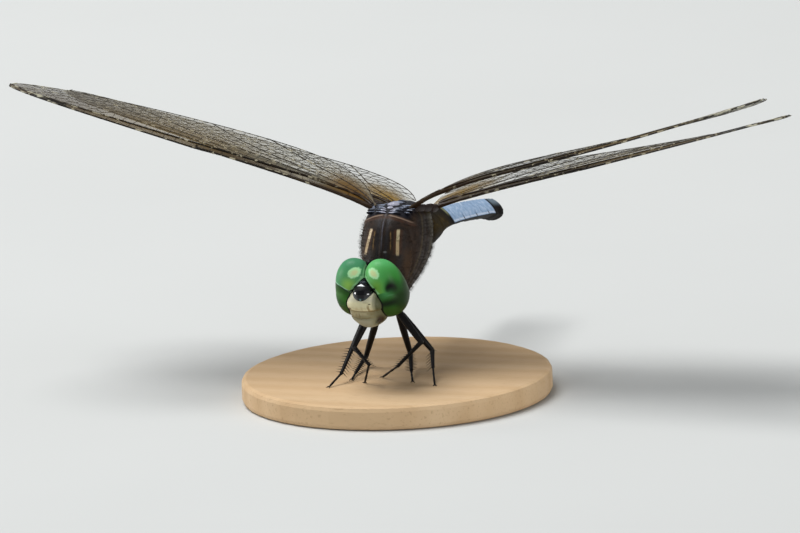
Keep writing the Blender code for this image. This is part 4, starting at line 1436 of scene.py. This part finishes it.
def vein_mesh(wing, paths):
    """The veins' middle lines as edges that carry their girth."""
    points, edges, girths = [], [], []
    for thick, thin, path in paths:
        foot = STRONG_FOOT if thick > STRONG_VEIN else 1.0
        for k, (share, across) in enumerate(path):
            if k:
                edges.append((len(points) - 1, len(points)))
            points.append(INSECT @ Vector(wing_point(wing, share, across)) * MM)
            swell = 1 + (foot - 1) * math.exp(-max(share, 0) / FOOT_SHARE)
            girths.append((thick + (thin - thick) * max(share, 0.0)) * swell * MM)
    return mesh_of(wing + "_vein_lines", points, edges, [], {"girth": girths})


def membrane(wing):
    """A thin closed film over the wing, carrying its shares of length and width."""
    shares = np.concatenate([[INSIDE_HINGE], np.linspace(0, 0.94, 84), np.linspace(0.95, WING_END, 10)])
    widths = np.linspace(0, 1, FILM_COLUMNS) ** FRONT_CROWDING
    loop = [(across, FILM / 2) for across in widths] + [(across, -FILM / 2) for across in widths[::-1]]
    part = loft([[wing_point(wing, share, across, above) for across, above in loop] for share in shares])
    hind = float(wing.startswith("hind"))
    marks = {"share": np.append(np.repeat(shares, len(loop)), (INSIDE_HINGE, WING_END)),
             "across": np.append(np.tile([across for across, _ in loop], len(shares)), (0.5, 0.5)),
             "hind": np.full(len(part[0]), hind)}
    piece(wing + "_membrane", part, MEMBRANE, [wing], marks=marks)


def stigma(wing):
    """The dark thick cell near the tip, between the front edge and the radius."""
    radius = np.array(LONG_VEINS[wing[:4]][2]).T
    start, end = STIGMA
    rings = []
    for share in np.linspace(start, end, 14):
        rounding = math.sin(math.pi * (share - start) / (end - start)) ** 0.25
        back = np.interp(share, *radius) * rounding * 0.95
        top = [(width * back, above) for width, above in STIGMA_SECTION]
        loop = top + [(across, -above) for across, above in reversed(top)]
        rings.append([wing_point(wing, share, across, above) for across, above in loop])
    piece(wing + "_stigma", loft(rings), VEIN)


def build_wings():
    veins = veins_tree()
    for kind in ("fore", "hind"):
        paths = vein_paths(kind)
        for _, name in SIDES:
            wing = f"{kind}_wing_{name}"
            membrane(wing)
            stigma(wing)
            grown(wing + "_veins", vein_mesh(wing, paths), veins, {"Sides": 5, "Material": VEIN})


# ---------------------------------------------------------------- legs
# Each leg's joints: root inside the thorax, hip, knee, ankle, and the foot's place seen from above
LEGS = {
    "front_leg_left": (
        (1.0, -3.7, -6.2), (1.5, -4.1, -8.3), (3.65, -4.1, -11.0), (1.54, -3.8, -13.07), (-0.39, -1.99)),
    "front_leg_right": (
        (-0.8, -3.7, -6.2), (-0.65, -4.1, -8.4), (-2.0, -4.8, -11.5), (-0.41, -5.6, -12.85), (-1.3, -3.98)),
    "middle_leg_left": (
        (0.8, -2.2, -6.6), (1.05, -2.6, -8.45), (3.8, -1.6, -11.9), (4.2, -2.6, -13.2), (4.8, -3.97)),
    "middle_leg_right": (
        (-0.9, -2.2, -6.6), (-1.28, -2.6, -8.5), (-2.9, -2.4, -11.7), (-3.25, -4.4, -13.8), (-3.78, -5.78)),
    "hind_leg_left": (
        (0.6, -0.9, -6.6), (0.55, -1.0, -8.6), (0.9, 1.4, -12.55), (1.9, -1.4, -13.7), (2.58, -3.12)),
    "hind_leg_right": (
        (-0.8, -0.9, -6.6), (-1.0, -1.0, -8.65), (-3.0, 1.4, -12.85), (-2.95, -1.5, -14.0), (-2.71, -3.18)),
}
FOOT_HEIGHT = 0.11
FEMUR, TIBIA, TARSUS = 0.30, 0.175, 0.10
TOE_RADII = (0.075, TARSUS, 0.085)
# Rods of a leg: the joint it starts from, shares of the way to the next joint, radii and roundness
LEG_RODS = (
    (0, (0.0, 0.5, 0.85), (0.34, 0.42, 0.30), 14),
    (0, (0.86, 0.93, 1.02), (0.22, 0.27, 0.24), 14),
    (1, (0.0, 0.15, 0.45, 0.8, 1.0), (0.22, 0.29, FEMUR, 0.25, 0.21), 14),
    (2, (-0.02, 0.06, 0.3, 0.9, 1.0), (0.19, 0.21, TIBIA, 0.14, 0.15), 12),
    (3, (0.0, 0.11, 0.22), TOE_RADII, 10),
    (3, (0.24, 0.38, 0.52), TOE_RADII, 10),
    (3, (0.54, 0.755, 0.97), TOE_RADII, 10),
)
CLAW_PLACES = ((0.20, 0.10), (0.34, 0.16))     # its bend and tip: how far ahead and aside
CLAW_ARCH, CLAW_TIP_HEIGHT = 0.06, 0.03
CLAW_RADII = (0.05, 0.042, 0.015)


def foot_at(x, y, height):
    """A point so high above the base, given where it is seen from above."""
    tilt = math.radians(NOSE_UP)
    return Vector((x, y, (height - BODY_HEIGHT + y * math.sin(tilt)) / math.cos(tilt)))


def between(start, end, *shares):
    return [start.lerp(end, share) for share in shares]


def leg_part(joints):
    """Hip, femur, tibia, three joints of the foot and two claws."""
    parts = [sweep(between(joints[start], joints[start + 1], *shares), radii, around)
             for start, shares, radii, around in LEG_RODS]
    ankle, foot = joints[-2:]
    toe = (foot - ankle).normalized()
    for side in (1, -1):
        spread = toe.cross(Vector((0, 0, 1))).normalized() * side
        bend, tip = (foot + toe * ahead + spread * aside for ahead, aside in CLAW_PLACES)
        claw = [foot, bend + Vector((0, 0, CLAW_ARCH)), foot_at(tip.x, tip.y, CLAW_TIP_HEIGHT)]
        parts.append(sweep(claw, CLAW_RADII, 8))
    return joined(*parts)


def spine_line(name, start, end, girth, side):
    """A limb's middle line that carries its girth and the side its spines stand on."""
    points = [INSECT @ point * MM for point in between(start, end, 0.12, 0.4, 0.7, 0.97)]
    marks = {"girth": [girth * MM] * len(points), "side": [INSECT.to_3x3() @ side] * len(points)}
    return mesh_of(name, points, [(0, 1), (1, 2), (2, 3)], [], marks)


def build_legs():
    spines = spines_tree()
    spine = bristle("spine", 1, 0.075, 0.0, 0.06)
    for leg, (*joints, foot) in LEGS.items():
        joints = [Vector(joint) for joint in joints] + [foot_at(*foot, FOOT_HEIGHT)]
        nodes = [f"{leg}_{part}" for part in ("femur", "tibia", "tarsus")]
        piece(leg + "_limb", leg_part(joints), LEG, nodes)
        _, hip, knee, ankle, foot = joints
        plane = (knee - hip).cross(ankle - knee).normalized()
        inner = plane.cross(ankle - knee).normalized()
        # From and to, girth of the limb, side they stand on, spacing, length and name
        rows = ((knee, ankle, TIBIA, inner * 0.45 + plane, 0.27, 0.55, "shin_a"),
                (knee, ankle, TIBIA, inner * 0.45 - plane, 0.27, 0.55, "shin_b"),
                (hip, knee, FEMUR, -inner + plane * 0.4, 0.36, 0.34, "thigh_a"),
                (hip, knee, FEMUR, -inner - plane * 0.4, 0.36, 0.34, "thigh_b"),
                (ankle, foot, TARSUS, Vector((0, 0, -1)) + plane * 0.5, 0.28, 0.14, "toe"))
        for number, (start, end, girth, side, spacing, length, row) in enumerate(rows):
            name = f"{leg}_{row}_spines"
            grown(name, spine_line(name, start, end, girth, side.normalized()), spines, {
                "Spine": spine, "Spacing": spacing * MM, "Length": length * MM, "Lean": 0.75,
                "Seed": number, "Material": LEG})
    bpy.data.objects.remove(spine)


# ---------------------------------------------------------------- coat
HAIR_DENSITY = 18             # tufts for each square millimetre
HAIR_LENGTH = 0.35
HAIR_LIE = (0.0, -0.15, 0.25)


def build_coat(skin):
    tuft = bristle("tuft", 3, 0.019, 0.16, 0.14)
    grown("thorax_coat", skin.data.copy(), coat_tree(), {
        "Tuft": tuft, "Density": HAIR_DENSITY / MM ** 2, "Length": HAIR_LENGTH * MM, "Lie": HAIR_LIE,
        "Seed": 3, "Material": HAIR})
    bpy.data.objects.remove(tuft)


# ---------------------------------------------------------------- stage
FLOOR_REACH = 6.0             # metres, as are the lamps' distances and sizes
# Each lamp: name, azimuth and elevation in degrees, distance, size and power
LAMPS = (
    ("overhead", -95, 70, 0.90, 0.60, 9.0),
    ("left_window", -84, 4, 2.4, 0.88, 28.8),
    ("right_window", 66, 2, 2.4, 1.04, 32.0),
)
ROOM_COLOUR, ROOM_STRENGTH = (0.94, 0.97, 1.0, 1.0), 0.30


def build_floor():
    shape = bmesh.new()
    bmesh.ops.create_grid(shape, x_segments=8, y_segments=8, size=FLOOR_REACH)
    mesh = bpy.data.meshes.new("floor")
    shape.to_mesh(mesh)
    shape.free()
    mesh.materials.append(FLOOR)
    put("floor", mesh)


def build_lights():
    target = INSECT.to_translation() * MM
    for name, azimuth, elevation, distance, size, power in LAMPS:
        light = bpy.data.lights.new(name, "AREA")
        light.shape = "DISK"
        light.size = size
        light.energy = power
        a, e = math.radians(azimuth), math.radians(elevation)
        back = Vector((math.sin(a) * math.cos(e), -math.cos(a) * math.cos(e), math.sin(e)))
        lamp = put(name, light)
        lamp.location = target + back * distance
        lamp.rotation_euler = (-back).to_track_quat("-Z", "Y").to_euler()
    world = bpy.data.worlds.new("room")
    world.use_nodes = True
    room = world.node_tree.nodes["Background"]
    room.inputs["Color"].default_value = ROOM_COLOUR
    room.inputs["Strength"].default_value = ROOM_STRENGTH
    bpy.context.scene.world = world
    bpy.context.scene.view_settings.view_transform = "Standard"


CAMERA_AZIMUTH = 18.5         # towards the insect's left, in its own frame
CAMERA_ELEVATION = 5.0
CAMERA_DISTANCE = 1200.0
CAMERA_VIEW = 66.6667         # width seen at that distance, millimetres
CAMERA_SHIFT = (0.00625, -0.076875)       # shares of the view's width, to the right and up
SENSOR_WIDTH = 36.0


def build_camera():
    a, e = math.radians(CAMERA_AZIMUTH), math.radians(CAMERA_ELEVATION)
    right = Vector((math.cos(a), math.sin(a), 0))
    up = Vector((-math.sin(a) * math.sin(e), math.cos(a) * math.sin(e), math.cos(e)))
    back = right.cross(up)
    turn = Matrix((right, up, back)).transposed().to_4x4()
    turn.translation = back * CAMERA_DISTANCE
    lens = bpy.data.cameras.new("camera")
    lens.sensor_width = SENSOR_WIDTH
    lens.lens = SENSOR_WIDTH * CAMERA_DISTANCE / CAMERA_VIEW
    lens.shift_x, lens.shift_y = CAMERA_SHIFT
    lens.clip_start, lens.clip_end = 0.1, 20.0
    placed = INSECT @ turn
    placed.translation *= MM
    camera = put("camera", lens)
    camera.matrix_world = placed
    bpy.context.scene.camera = camera


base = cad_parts["stand_base"]
base.data.materials.clear()
base.data.materials.append(WOOD)
build_eyes()
build_face()
build_back_of_head()
build_feelers()
build_coat(build_thorax())
build_back_plates()
build_abdomen()
build_wings()
build_legs()
build_floor()
build_lights()
build_camera()
